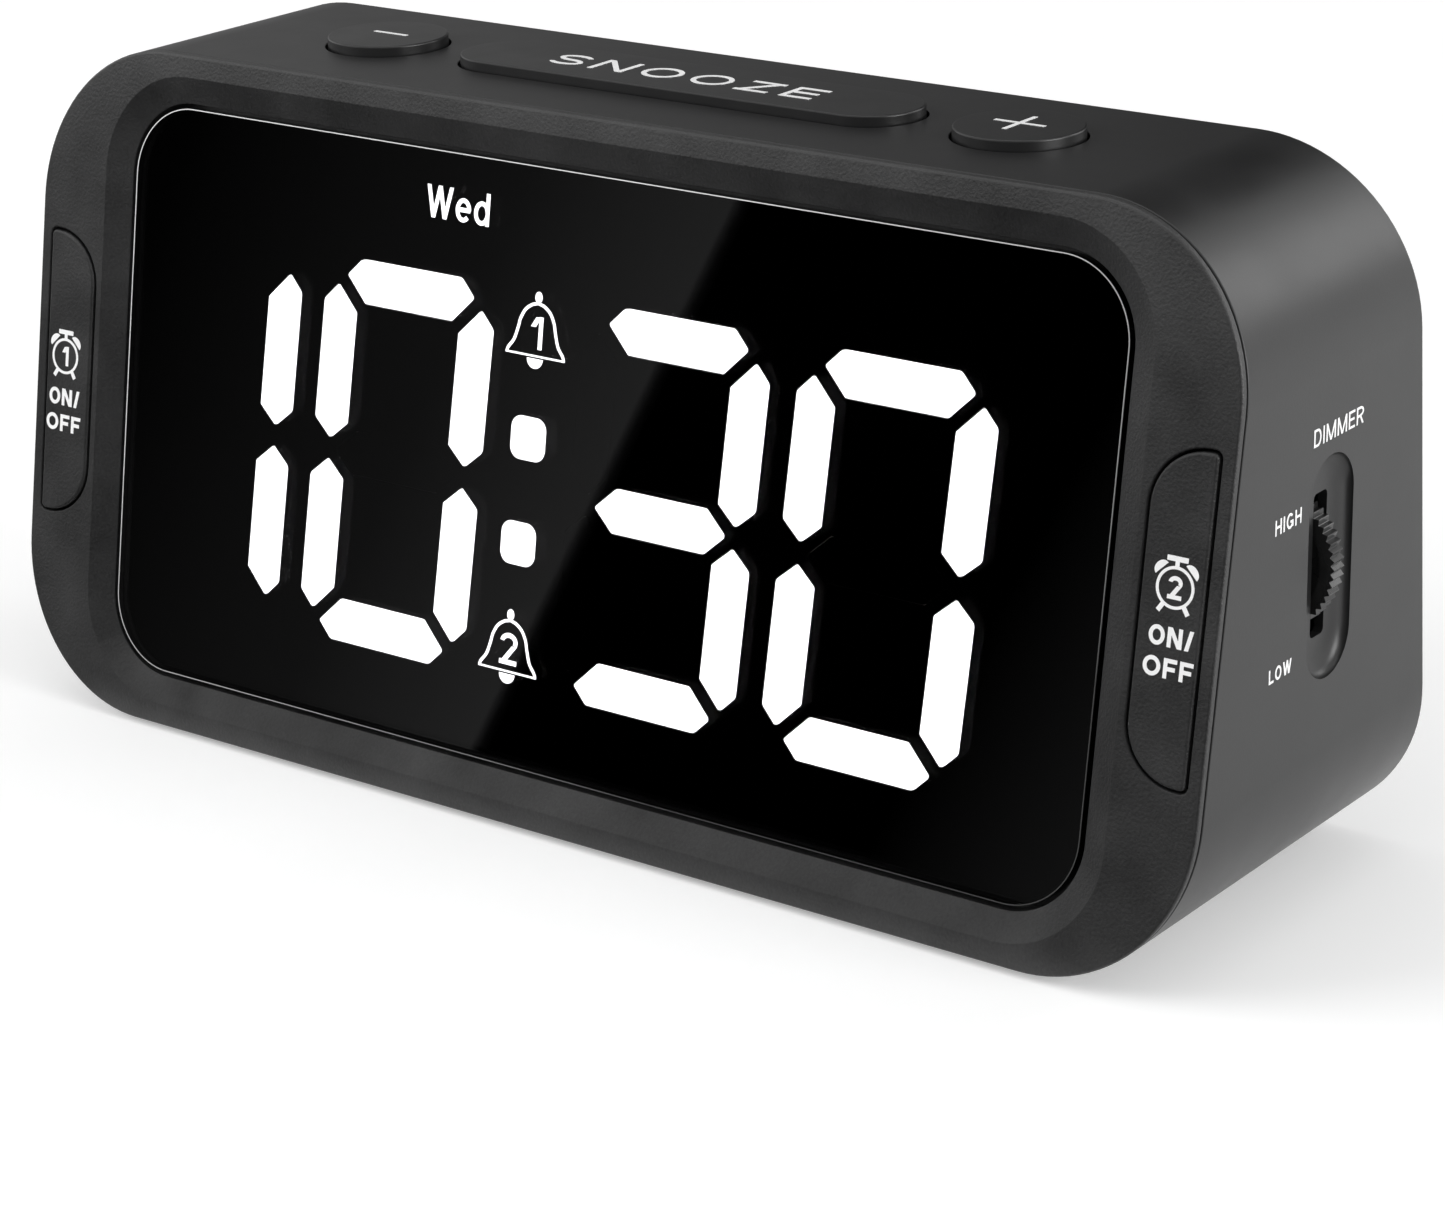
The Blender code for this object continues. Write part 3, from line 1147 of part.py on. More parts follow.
    def battery_bay(self):
        """The battery door on its lower edge, the tray behind it, two cells and their springs."""
        make = self.make
        half_height = DOOR_HEIGHT / 2
        pivot_up = DOOR_UP - half_height + DOOR_PIVOT_RISE
        pivot_depth = COVER_INSET + DOOR_THICKNESS / 2
        place = (DOOR_X, -pivot_depth, pivot_up)
        outline = rectangle(DOOR_WIDTH, DOOR_HEIGHT, 0.6, (0.0, half_height - DOOR_PIVOT_RISE), 3)
        half = DOOR_THICKNESS / 2
        door = make.plate("battery_door", [outline], -half, half, place, make.back, self.case_black)
        notch_size = (THUMB_NOTCH_WIDTH, 2 * THUMB_NOTCH_DEPTH, THUMB_NOTCH_HEIGHT)
        notch_place = (DOOR_X, -COVER_INSET, DOOR_UP + half_height - 2 * THUMB_NOTCH_HEIGHT)
        make.cut(door, make.box("thumb_notch", notch_size, notch_place, make.back))
        tray_place = (DOOR_X, 0.0, DOOR_UP)
        shell = [rectangle(TRAY_WIDTH, TRAY_HEIGHT, 1.0, steps=2)]
        hollow = [rectangle(TRAY_WIDTH - 2 * TRAY_WALL, TRAY_HEIGHT - 2 * TRAY_WALL, 0.5, steps=2)]
        tray_back = -TRAY_FRONT - TRAY_DEPTH
        name = "battery_tray"
        tray = make.plate(name, shell, tray_back, -TRAY_FRONT, tray_place, make.back, self.case_black)
        make.cut(tray, make.plate("tray_hollow", hollow, tray_back + TRAY_WALL, 0.0, tray_place, make.back))
        for number, side in enumerate((-1, 1), 1):
            up = DOOR_UP + side * CELL_SPACING / 2
            spring_end = DOOR_X - side * (TRAY_WIDTH / 2 - TRAY_WALL - GAP)
            start = spring_end + side * (SPRING_LENGTH + GAP)
            self.cell(f"battery_cell_{number}", (start, -CELL_DEPTH, up), side)
            self.spring(f"battery_spring_{number}", (spring_end, -CELL_DEPTH, up), side)

    def cell(self, name, place, side):
        """A round cell along X from its flat end, its nub on the far end."""
        radius = CELL_DIAMETER / 2
        profile = [
            (0.0, CELL_LENGTH + NUB_LENGTH),
            (NUB_DIAMETER / 2, CELL_LENGTH + NUB_LENGTH),
            (NUB_DIAMETER / 2, CELL_LENGTH),
            (radius - 0.4, CELL_LENGTH),
            (radius, CELL_LENGTH - 0.4),
            (radius, 0.4),
            (radius - 0.4, 0.0),
            (0.0, 0.0),
        ]
        obj = self.make.turned(name, profile, place, self.make.back, self.cell_wrap, axis="X", steps=20)
        if side < 0:
            obj.rotation_euler.y = math.radians(-90)

    def spring(self, name, place, side):
        """A coil that presses on a cell's flat end."""
        curve = bpy.data.curves.new(name, "CURVE")
        curve.dimensions = "3D"
        curve.bevel_depth = SPRING_WIRE * MM
        curve.bevel_resolution = 1
        curve.use_fill_caps = True
        spline = curve.splines.new("POLY")
        count = SPRING_TURNS * 12
        spline.points.add(count)
        for i, point in enumerate(spline.points):
            angle = 2 * math.pi * SPRING_TURNS * i / count
            along = side * (SPRING_WIRE + (SPRING_LENGTH - 2 * SPRING_WIRE) * i / count)
            y, up = SPRING_RADIUS * math.cos(angle), SPRING_RADIUS * math.sin(angle)
            point.co = (along * MM, y * MM, up * MM, 1.0)
        coil = bpy.data.objects.new(name, curve)
        coil.location = Vector(place) * MM
        coil.parent = self.make.back
        curve.materials.append(self.spring_steel)
        self.make.parts.objects.link(coil)

    def cable(self):
        """The flat cable that hangs between the display's board and the main board."""
        z = FOOT_PROUD + CABLE_UP
        room = GAP + CABLE_THICKNESS / 2
        face_y = -BASE_DEPTH / 2 + CABLE_UP * math.tan(FRONT_LEAN)
        back_y = BASE_DEPTH / 2 - CABLE_UP * math.tan(BACK_LEAN)
        front = face_y + (DISPLAY_BOARD_BACK + room) / math.cos(FRONT_LEAN)
        rear = back_y - (MAIN_BOARD_INNER + room) / math.cos(BACK_LEAN)
        count = 12
        upper, lower = [], []
        for i in range(count + 1):
            share = i / count
            y = front + (rear - front) * share
            drop = CABLE_SAG * math.sin(math.pi * share) ** 2
            upper.append((y, z - drop + CABLE_THICKNESS / 2))
            lower.append((y, z - drop - CABLE_THICKNESS / 2))
        outline = lower + upper[::-1]
        low, high = CABLE_X - CABLE_WIDTH / 2, CABLE_X + CABLE_WIDTH / 2
        self.make.plate("ribbon_cable", [outline], low, high, finish=self.cable_grey, axis="X")


def main():
    clear_scene()
    clock = Clock()
    clock.front_bezel()
    clock.housing()
    clock.feet()
    clock.display()
    clock.top_keys()
    clock.side_keys()
    clock.dimmer()
    clock.back_cover()
    clock.back_keys()
    clock.main_board()
    clock.battery_bay()
    clock.cable()
    clock.make.weld_cuts()


main()
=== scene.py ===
"""The looks of a digital alarm clock: fine moulded case, keys, display, legends and a white studio.

Sizes are in millimetres in the clock's own frame and turn into metres where a mesh is made. The clock
faces -Y and stands at Z = 0. Depths on a plane are measured into the clock, so a legend has a depth below 0.
"""

import logging
import math
from collections.abc import Iterable, Sequence
from dataclasses import dataclass, field
from enum import Enum

import bmesh
import bpy
from mathutils import Matrix, Vector


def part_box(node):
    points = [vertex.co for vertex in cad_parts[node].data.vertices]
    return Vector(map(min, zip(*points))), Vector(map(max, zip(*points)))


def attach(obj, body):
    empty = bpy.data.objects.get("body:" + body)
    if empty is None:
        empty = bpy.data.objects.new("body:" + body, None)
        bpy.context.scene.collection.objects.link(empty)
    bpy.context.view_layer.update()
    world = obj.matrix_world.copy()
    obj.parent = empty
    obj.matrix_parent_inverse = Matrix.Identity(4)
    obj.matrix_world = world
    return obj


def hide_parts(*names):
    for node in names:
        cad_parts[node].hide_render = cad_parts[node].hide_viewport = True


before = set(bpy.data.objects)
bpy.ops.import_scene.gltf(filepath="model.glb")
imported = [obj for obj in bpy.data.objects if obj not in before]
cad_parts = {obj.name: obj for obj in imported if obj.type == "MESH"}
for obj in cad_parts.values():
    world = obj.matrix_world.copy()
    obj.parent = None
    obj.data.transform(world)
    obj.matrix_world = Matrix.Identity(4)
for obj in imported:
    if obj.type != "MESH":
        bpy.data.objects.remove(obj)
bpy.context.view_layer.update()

LOG = logging.getLogger("alarm_clock")
MM = 0.001
Point = tuple[float, float]
Outline = list[Point]
Ring = list[Vector]
Colour = tuple[float, float, float]

CORNER_STEPS = 24
ROUND_STEPS = 72
EDGE_STEPS = 4
SMOOTH_ANGLE = math.radians(32)

# How far printed marks stand out of a surface and reach into it, and how deep a hole's cutter goes.
PRINT_PROUD = 0.03
PRINT_SUNK = 0.05
THROUGH = 4.0

# Where a noise's values mostly lie, the grain's share of a tone and a board's tracks.
NOISE_RANGE: Point = (0.3, 0.7)
GRAIN_SHARE = 0.45
TRACK_SCALE = 420.0
TRACK_GAP = 0.03
# The painted highlight on the window's edge: the direction along which it fades, and where it starts.
HIGHLIGHT_FADE_WAY = (-3.2, 0.0, 7.0)
HIGHLIGHT_FADE_START = 0.30


class Operation(Enum):
    """How a Boolean combines two solids."""

    CUT = "DIFFERENCE"
    JOIN = "UNION"


class Pattern(Enum):
    """What a finish shows on its surface beside its grain."""

    PLAIN = "plain"
    TRACKS = "tracks"
    # A painted highlight: the tone runs from dark to light along a fixed direction.
    FADING = "fading"


# ---------------------------------------------------------------- outlines


def rounded(
    width: float, height: float, radius: float, centre: Point = (0.0, 0.0), steps: int = CORNER_STEPS,
) -> Outline:
    """A rectangle with round corners.

    Args:
        width: Size across.
        height: Size up.
        radius: Corner radius.
        centre: Middle of the rectangle.
        steps: Segments in each corner.

    Returns:
        The outline, anticlockwise, with steps + 1 points in each corner.
    """
    made: Outline = []
    x, up = width / 2 - radius, height / 2 - radius
    for corner, (sx, sy) in enumerate(((-1, -1), (1, -1), (1, 1), (-1, 1))):
        for i in range(steps + 1):
            angle = math.pi * (1 + corner / 2 + i / steps / 2)
            made.append((
                centre[0] + sx * x + radius * math.cos(angle),
                centre[1] + sy * up + radius * math.sin(angle),
            ))
    return made


def soft_corners(corners: Sequence[tuple[float, float, float]], steps: int = 8) -> Outline:
    """An outline from (x, up, radius) corners, anticlockwise, each with a fillet.

    Args:
        corners: The corners and their radii.
        steps: Segments in each fillet.

    Returns:
        The outline.
    """
    made: Outline = []
    for i, (x, up, radius) in enumerate(corners):
        here = Vector((x, up))
        first = (Vector(corners[i - 1][:2]) - here).normalized()
        last = (Vector(corners[(i + 1) % len(corners)][:2]) - here).normalized()
        half = first.angle(last) / 2
        centre = here + (first + last).normalized() * (radius / math.sin(half))
        start = here + first * (radius / math.tan(half)) - centre
        turn = start.angle_signed(here + last * (radius / math.tan(half)) - centre)
        for step in range(steps + 1):
            point = centre + Matrix.Rotation(-turn * step / steps, 2) @ start
            made.append((point.x, point.y))
    return made


def circle(radius: float, centre: Point = (0.0, 0.0), steps: int = ROUND_STEPS) -> Outline:
    """A circle's outline, anticlockwise."""
    angles = [2 * math.pi * i / steps for i in range(steps)]
    return [(centre[0] + radius * math.cos(a), centre[1] + radius * math.sin(a)) for a in angles]


def stadium(length: float, width: float, centre: Point = (0.0, 0.0)) -> Outline:
    """A long outline with round ends."""
    return rounded(length, width, width / 2 - 1e-4, centre)


def grown(outline: Outline, amount: float) -> Outline:
    """An outline with each side moved out by an amount, or in where it is below 0."""
    made: Outline = []
    for i, point in enumerate(outline):
        here = Vector(point)
        first = (here - Vector(outline[i - 1])).normalized()
        last = (Vector(outline[(i + 1) % len(outline)]) - here).normalized()
        middle = Vector((first.y + last.y, -first.x - last.x))
        moved = here + middle * (2 * amount / middle.length_squared)
        made.append((moved.x, moved.y))
    return made


def moved(outline: Outline, across: float, up: float) -> Outline:
    """An outline shifted by (across, up)."""
    return [(x + across, y + up) for x, y in outline]


def mirrored(outline: Outline, across: int, up: int = 1) -> Outline:
    """An outline mirrored by signs, still anticlockwise."""
    made = [(x * across, y * up) for x, y in outline]
    return made[::-1] if across * up < 0 else made


# ---------------------------------------------------------------- planes and meshes


def from_columns(columns: Sequence[Vector]) -> Matrix:
    """The matrix whose columns are three directions and a place."""
    return Matrix([[column[row] for column in columns] for row in range(3)] + [[0, 0, 0, 1]])


@dataclass(frozen=True)
class Plane:
    """A working plane: a start, two directions across it and the direction into the clock."""

    origin: Vector
    across: Vector
    up: Vector
    inward: Vector

    def at(self, u: float, v: float, depth: float = 0.0) -> Vector:
        """The place of (u, v) at a depth below the plane."""
        return self.origin + self.across * u + self.up * v + self.inward * depth

    def ring(self, outline: Outline, depth: float) -> Ring:
        """An outline's points at a depth."""
        return [self.at(u, v, depth) for u, v in outline]

    def matrix(self) -> Matrix:
        """The turn and shift from (u, v, out) to the clock's frame."""
        return from_columns((self.across, self.up, -self.inward, self.origin))


def solid(
    name: str, faces_from: Iterable[tuple[Sequence[Vector], Sequence[Sequence[int]]]],
) -> bpy.types.Object:
    """An object of closed shells.

    Args:
        name: Name of the object.
        faces_from: For each shell its corners in millimetres and its faces.

    Returns:
        The object, with its faces pointing out.
    """
    points: list[Vector] = []
    faces: list[list[int]] = []
    for corners, sides in faces_from:
        first = len(points)
        points += [corner * MM for corner in corners]
        faces += [[first + i for i in side] for side in sides]
    mesh = bpy.data.meshes.new(name)
    mesh.from_pydata(points, [], faces)
    work = bmesh.new()
    work.from_mesh(mesh)
    bmesh.ops.recalc_face_normals(work, faces=work.faces)
    work.to_mesh(mesh)
    work.free()
    made = bpy.data.objects.new(name, mesh)
    bpy.context.scene.collection.objects.link(made)
    return made


def shell(rings: Sequence[Ring], hollow: bool = False) -> tuple[Ring, list[list[int]]]:
    """The corners and faces of a skin over rings of equal count.

    Args:
        rings: The rings, one after another.
        hollow: True joins the last ring to the first. False closes both ends.

    Returns:
        Corners and faces.
    """
    count = len(rings[0])
    corners = [point for ring in rings for point in ring]
    faces: list[list[int]] = []
    for r in range(len(rings) - (not hollow)):
        here, there = r * count, (r + 1) % len(rings) * count
        for i in range(count):
            j = (i + 1) % count
            faces.append([here + i, here + j, there + j, there + i])
    if not hollow:
        faces.append(list(range(count))[::-1])
        faces.append(list(range(len(corners) - count, len(corners))))
    return corners, faces


def edge_rings(
    plane: Plane, outline: Outline, low: float, high: float, near: float, far: float = 0.0,
) -> list[Ring]:
    """The rings of a plate with rounded edges.

    Args:
        plane: Plane that the plate lies on.
        outline: Its widest outline.
        low: Depth of its near face.
        high: Depth of its far face.
        near: Edge radius at the near face.
        far: Edge radius at the far face.

    Returns:
        Rings from the near face to the far one.
    """
    rings: list[Ring] = []
    for depth, radius, sign in ((low, near, 1), (high, far, -1)):
        steps = EDGE_STEPS if radius > 0 else 0
        turns = [i / steps for i in range(steps + 1)] if steps else [1.0]
        made = []
        for share in turns:
            angle = share * math.pi / 2
            inset = radius * (1 - math.sin(angle))
            made.append(plane.ring(grown(outline, -inset), depth + sign * radius * (1 - math.cos(angle))))
        rings += made if sign > 0 else made[::-1]
    return rings


def plate(
    name: str, plane: Plane, outline: Outline, low: float, high: float, near: float = 0.0, far: float = 0.0,
) -> bpy.types.Object:
    """A plate with rounded edges, as edge_rings describes."""
    return solid(name, [shell(edge_rings(plane, outline, low, high, near, far))])


def flare(
    plane: Plane, outline: Outline, depth: float, radius: float, proud: float = 3.0,
) -> bpy.types.Object:
    """A cutter that leaves a hole with a rounded lip.

    Args:
        plane: Plane of the surface.
        outline: The hole.
        depth: How deep it cuts.
        radius: Lip radius.
        proud: How far the cutter stands out.

    Returns:
        The cutter.
    """
    rings = [plane.ring(outline, depth)]
    for i in range(EDGE_STEPS + 1):
        angle = i / EDGE_STEPS * math.pi / 2
        rings.append(
            plane.ring(grown(outline, radius * (1 - math.cos(angle))), radius * (1 - math.sin(angle))),
        )
    rings.append(plane.ring(grown(outline, radius), -proud))
    return solid("cutter", [shell(rings)])


def baked(obj: bpy.types.Object) -> bpy.types.Object:
    """The object with its modifiers turned into plain mesh."""
    evaluated = obj.evaluated_get(bpy.context.evaluated_depsgraph_get())
    mesh = bpy.data.meshes.new_from_object(evaluated)
    mesh.name = obj.name
    obj.modifiers.clear()
    obj.data = mesh
    return obj


def combine(
    obj: bpy.types.Object, tools: Iterable[bpy.types.Object], operation: Operation = Operation.CUT,
) -> bpy.types.Object:
    """Cuts tools from an object, or joins them to it, and removes them.

    Args:
        obj: The object that stays.
        tools: The other solids.
        operation: What to do with them.

    Returns:
        The object.
    """
    used = list(tools)
    for tool in used:
        modifier = obj.modifiers.new("combine", "BOOLEAN")
        modifier.operation = operation.value
        modifier.solver = "EXACT"
        modifier.object = tool
    baked(obj)
    for tool in used:
        bpy.data.objects.remove(tool, do_unlink=True)
    return obj


# ---------------------------------------------------------------- node trees


class Shader:
    """A material's node tree under construction."""

    def __init__(self, name: str) -> None:
        """Starts a material with one Principled shader."""
        self.material = bpy.data.materials.new(name)
        self.material.use_nodes = True
        self.tree = self.material.node_tree
        self.main = self.tree.nodes["Principled BSDF"]
        self.place = self.add("ShaderNodeTexCoord").outputs["Object"]

    def add(self, kind: str, **settings: object) -> bpy.types.Node:
        """Adds a node and gives it its settings."""
        node = self.tree.nodes.new(kind)
        for key, value in settings.items():
            setattr(node, key, value)
        return node

    def link(self, start: bpy.types.NodeSocket, end: bpy.types.NodeSocket) -> None:
        """Joins two sockets."""
        self.tree.links.new(start, end)

    def fix(self, **values: object) -> None:
        """Sets the shader's own sockets, named with _ for a space."""
        for key, value in values.items():
            self.main.inputs[key.replace("_", " ")].default_value = value

    def noise(self, size: float, detail: float = 2.0) -> bpy.types.NodeSocket:
        """Noise whose features are about this many millimetres across."""
        node = self.add("ShaderNodeTexNoise")
        node.inputs["Scale"].default_value = 1 / (size * MM)
        node.inputs["Detail"].default_value = detail
        self.link(self.place, node.inputs["Vector"])
        return node.outputs["Fac"]

    def reckon(self, operation: str, *values: bpy.types.NodeSocket | float) -> bpy.types.NodeSocket:
        """A maths node on sockets and numbers."""
        node = self.add("ShaderNodeMath", operation=operation)
        for socket, value in zip(node.inputs, values):
            if isinstance(value, bpy.types.NodeSocket):
                self.link(value, socket)
            else:
                socket.default_value = value
        return node.outputs[0]

    def along(self, way: Sequence[float]) -> bpy.types.NodeSocket:
        """How far a place lies along a direction, in metres times the direction's length."""
        node = self.add("ShaderNodeVectorMath", operation="DOT_PRODUCT")
        node.inputs[1].default_value = way
        self.link(self.place, node.inputs[0])
        return node.outputs["Value"]

    def ramp(
        self, factor: bpy.types.NodeSocket, stops: Sequence[tuple[float, Colour]],
    ) -> bpy.types.NodeSocket:
        """Colours along a factor."""
        node = self.add("ShaderNodeValToRGB")
        elements = node.color_ramp.elements
        elements[0].position, elements[1].position = stops[0][0], stops[-1][0]
        for place, _ in stops[1:-1]:
            elements.new(place)
        for element, (_, colour) in zip(elements, stops):
            element.color = (*colour, 1.0)
        self.link(factor, node.inputs["Fac"])
        return node.outputs["Color"]

    def blend(self, factor: bpy.types.NodeSocket, dark: Colour, light: Colour) -> bpy.types.NodeSocket:
        """Two tones over a noise's middle range."""
        return self.ramp(factor, tuple(zip(NOISE_RANGE, (dark, light))))

    def spread(
        self, factor: bpy.types.NodeSocket, low: float, high: float, between: Point = NOISE_RANGE,
    ) -> bpy.types.NodeSocket:
        """A factor between two values, a noise's middle range if none are given, turned into low to high."""
        node = self.add("ShaderNodeMapRange")
        sizes = (("From Min", between[0]), ("From Max", between[1]), ("To Min", low), ("To Max", high))
        for key, value in sizes:
            node.inputs[key].default_value = value
        self.link(factor, node.inputs["Value"])
        return node.outputs["Result"]

    def relief(self, height: bpy.types.NodeSocket, depth: float) -> None:
        """Bumps of this depth in millimetres."""
        node = self.add("ShaderNodeBump")
        node.inputs["Distance"].default_value = depth * MM
        node.inputs["Strength"].default_value = 1.0
        self.link(height, node.inputs["Height"])
        self.link(node.outputs["Normal"], self.main.inputs["Normal"])

    def surface(self, shaded: bpy.types.NodeSocket) -> None:
        """Puts another surface in place of the Principled shader's own."""
        self.link(shaded, self.tree.nodes["Material Output"].inputs["Surface"])


@dataclass(frozen=True)
class Finish:
    """An opaque finish: its two tones, gloss, grain and pattern.

    Attributes:
        name: Name of the material.
        dark: Darker tone.
        light: Lighter tone.
        gloss: Lowest and highest roughness.
        grain: Size of the grain in millimetres.
        depth: Depth of the grain in millimetres.
        patch: Size of the slow change of tone in millimetres.
        metal: Metallic share.
        specular: Specular level.
        coat: Weight of a clear coat.
        pattern: What else shows.
    """

    name: str
    dark: Colour
    light: Colour
    gloss: Point = (0.45, 0.55)
    grain: float = 0.25
    depth: float = 0.01
    patch: float = 6.0
    metal: float = 0.0
    specular: float = 0.5
    coat: float = 0.0
    pattern: Pattern = Pattern.PLAIN

    def build(self) -> bpy.types.Material:
        """Makes the material."""
        shader = Shader(self.name)
        grain = shader.noise(self.grain, 3.0)
        patch = shader.noise(self.patch, 2.0)
        factor = shader.reckon(
            "MULTIPLY_ADD", grain, GRAIN_SHARE, shader.reckon("MULTIPLY", patch, 1 - GRAIN_SHARE),
        )
        if self.pattern is Pattern.TRACKS:
            brick = shader.add("ShaderNodeTexBrick")
            brick.inputs["Scale"].default_value = TRACK_SCALE
            brick.inputs["Mortar Size"].default_value = TRACK_GAP
            shader.link(shader.place, brick.inputs["Vector"])
            factor = brick.outputs["Fac"]
        # Painted highlight: the tone follows a fixed direction, light at the top left and dark at the bottom
        # right.
        if self.pattern is Pattern.FADING:
            factor = shader.reckon("ADD", shader.along(HIGHLIGHT_FADE_WAY), HIGHLIGHT_FADE_START)
        shader.link(shader.blend(factor, self.dark, self.light), shader.main.inputs["Base Color"])
        shader.link(shader.spread(patch, *self.gloss), shader.main.inputs["Roughness"])
        shader.relief(grain, self.depth)
        shader.fix(
            Metallic=self.metal, Specular_IOR_Level=self.specular, Coat_Weight=self.coat,
            Coat_Roughness=0.1,
        )
        return shader.material


@dataclass(frozen=True)
class Glass:
    """A smoked window.

    Attributes:
        name: Name of the material.
        tint: Share of each colour that comes through.
        roughness: Roughness of its surface.
    """

    name: str
    tint: Colour
    roughness: float

    def build(self) -> bpy.types.Material:
        """Makes the material, with a faint unevenness in its tint."""
        shader = Shader(self.name)
        light = tuple(c * 1.04 for c in self.tint)
        shader.link(shader.blend(shader.noise(30.0), self.tint, light), shader.main.inputs["Base Color"])
        shader.fix(Roughness=self.roughness, IOR=1.49, Transmission_Weight=1.0)
        shader.relief(shader.noise(25.0), 0.002)
        return shader.material


@dataclass(frozen=True)
class Glow:
    """A light guide that is lit from behind.

    Attributes:
        name: Name of the material.
        colour: Colour of the light.
        strength: How bright it is.
        uneven: Share of the brightness that changes across a bar.
    """

    name: str
    colour: Colour
    strength: float
    uneven: float = 0.04

    def build(self) -> bpy.types.Material:
        """Makes the material."""
        shader = Shader(self.name)
        dim = tuple(c * (1 - self.uneven) for c in self.colour)
        tone = shader.blend(shader.noise(4.0), dim, self.colour)
        shader.link(tone, shader.main.inputs["Emission Color"])
        shader.link(tone, shader.main.inputs["Base Color"])
        shader.fix(Emission_Strength=self.strength, Roughness=0.5)
        return shader.material


class Growth:
    """A Geometry Nodes tree under construction, with named sizes."""

    def __init__(self, name: str) -> None:
        """Starts a tree that gives out geometry."""
        self.tree = bpy.data.node_groups.new(name, "GeometryNodeTree")
        self.tree.interface.new_socket("Geometry", in_out="INPUT", socket_type="NodeSocketGeometry")
        self.tree.interface.new_socket("Geometry", in_out="OUTPUT", socket_type="NodeSocketGeometry")
        self.start = self.tree.nodes.new("NodeGroupInput")
        self.end = self.tree.nodes.new("NodeGroupOutput")
        self.sizes: dict[str, tuple[str, float]] = {}

    def size(self, name: str, value: float, whole: bool = False) -> bpy.types.NodeSocket:
        """A named size: a length in millimetres, or a whole number."""
        kind = "NodeSocketInt" if whole else "NodeSocketFloat"
        socket = self.tree.interface.new_socket(name, in_out="INPUT", socket_type=kind)
        self.sizes[name] = (socket.identifier, int(value) if whole else value * MM)
        return self.start.outputs[name]

    def node(
        self, kind: str, inputs: dict[str | int, object] | None = None, **settings: object,
    ) -> bpy.types.Node:
        """Adds a node. An input is a socket to link, or a value to set."""
        node = self.tree.nodes.new("GeometryNode" + kind if not kind.startswith("Shader") else kind)
        for key, value in settings.items():
            setattr(node, key, value)
        for key, value in (inputs or {}).items():
            values = value if isinstance(value, list) else [value]
            for one in values:
                if isinstance(one, bpy.types.NodeSocket):
                    self.tree.links.new(one, node.inputs[key])
                else:
                    node.inputs[key].default_value = one
        return node

    def vector(self, x: object = 0.0, y: object = 0.0, z: object = 0.0) -> bpy.types.NodeSocket:
        """A vector of sockets or numbers."""
        return self.node("ShaderNodeCombineXYZ", {"X": x, "Y": y, "Z": z}).outputs["Vector"]

    def times(self, socket: bpy.types.NodeSocket, factor: float) -> bpy.types.NodeSocket:
        """A size times a number."""
        return self.node("ShaderNodeMath", {0: socket, 1: factor}, operation="MULTIPLY").outputs[0]

    def grow(
        self,
        name: str,
        geometry: bpy.types.NodeSocket,
        material: bpy.types.Material | None = None,
        base: bpy.types.Object | None = None,
        place: Matrix | None = None,
    ) -> bpy.types.Object:
        """Ends the tree and turns its result into a plain mesh object.

        Args:
            name: Name of the object.
            geometry: What the tree has made.
            material: Finish that the tree sets.
            base: Object whose mesh the tree reads.
            place: Where the result goes, in millimetres.

        Returns:
            The object, at the origin, with no modifier.
        """
        real = self.node("RealizeInstances", {"Geometry": geometry})
        last = self.node("SetMaterial", {"Geometry": real.outputs["Geometry"]})
        if material is not None:
            last.inputs["Material"].default_value = material
        self.tree.links.new(last.outputs["Geometry"], self.end.inputs["Geometry"])
        made = base or solid(name, [])
        made.name = name
        modifier = made.modifiers.new("grow", "NODES")
        modifier.node_group = self.tree
        for identifier, value in self.sizes.values():
            modifier[identifier] = value
        baked(made)
        if place is not None:
            shift = place.copy()
            shift.translation = shift.translation * MM
            made.data.transform(shift)
        return made


# ---------------------------------------------------------------- legends



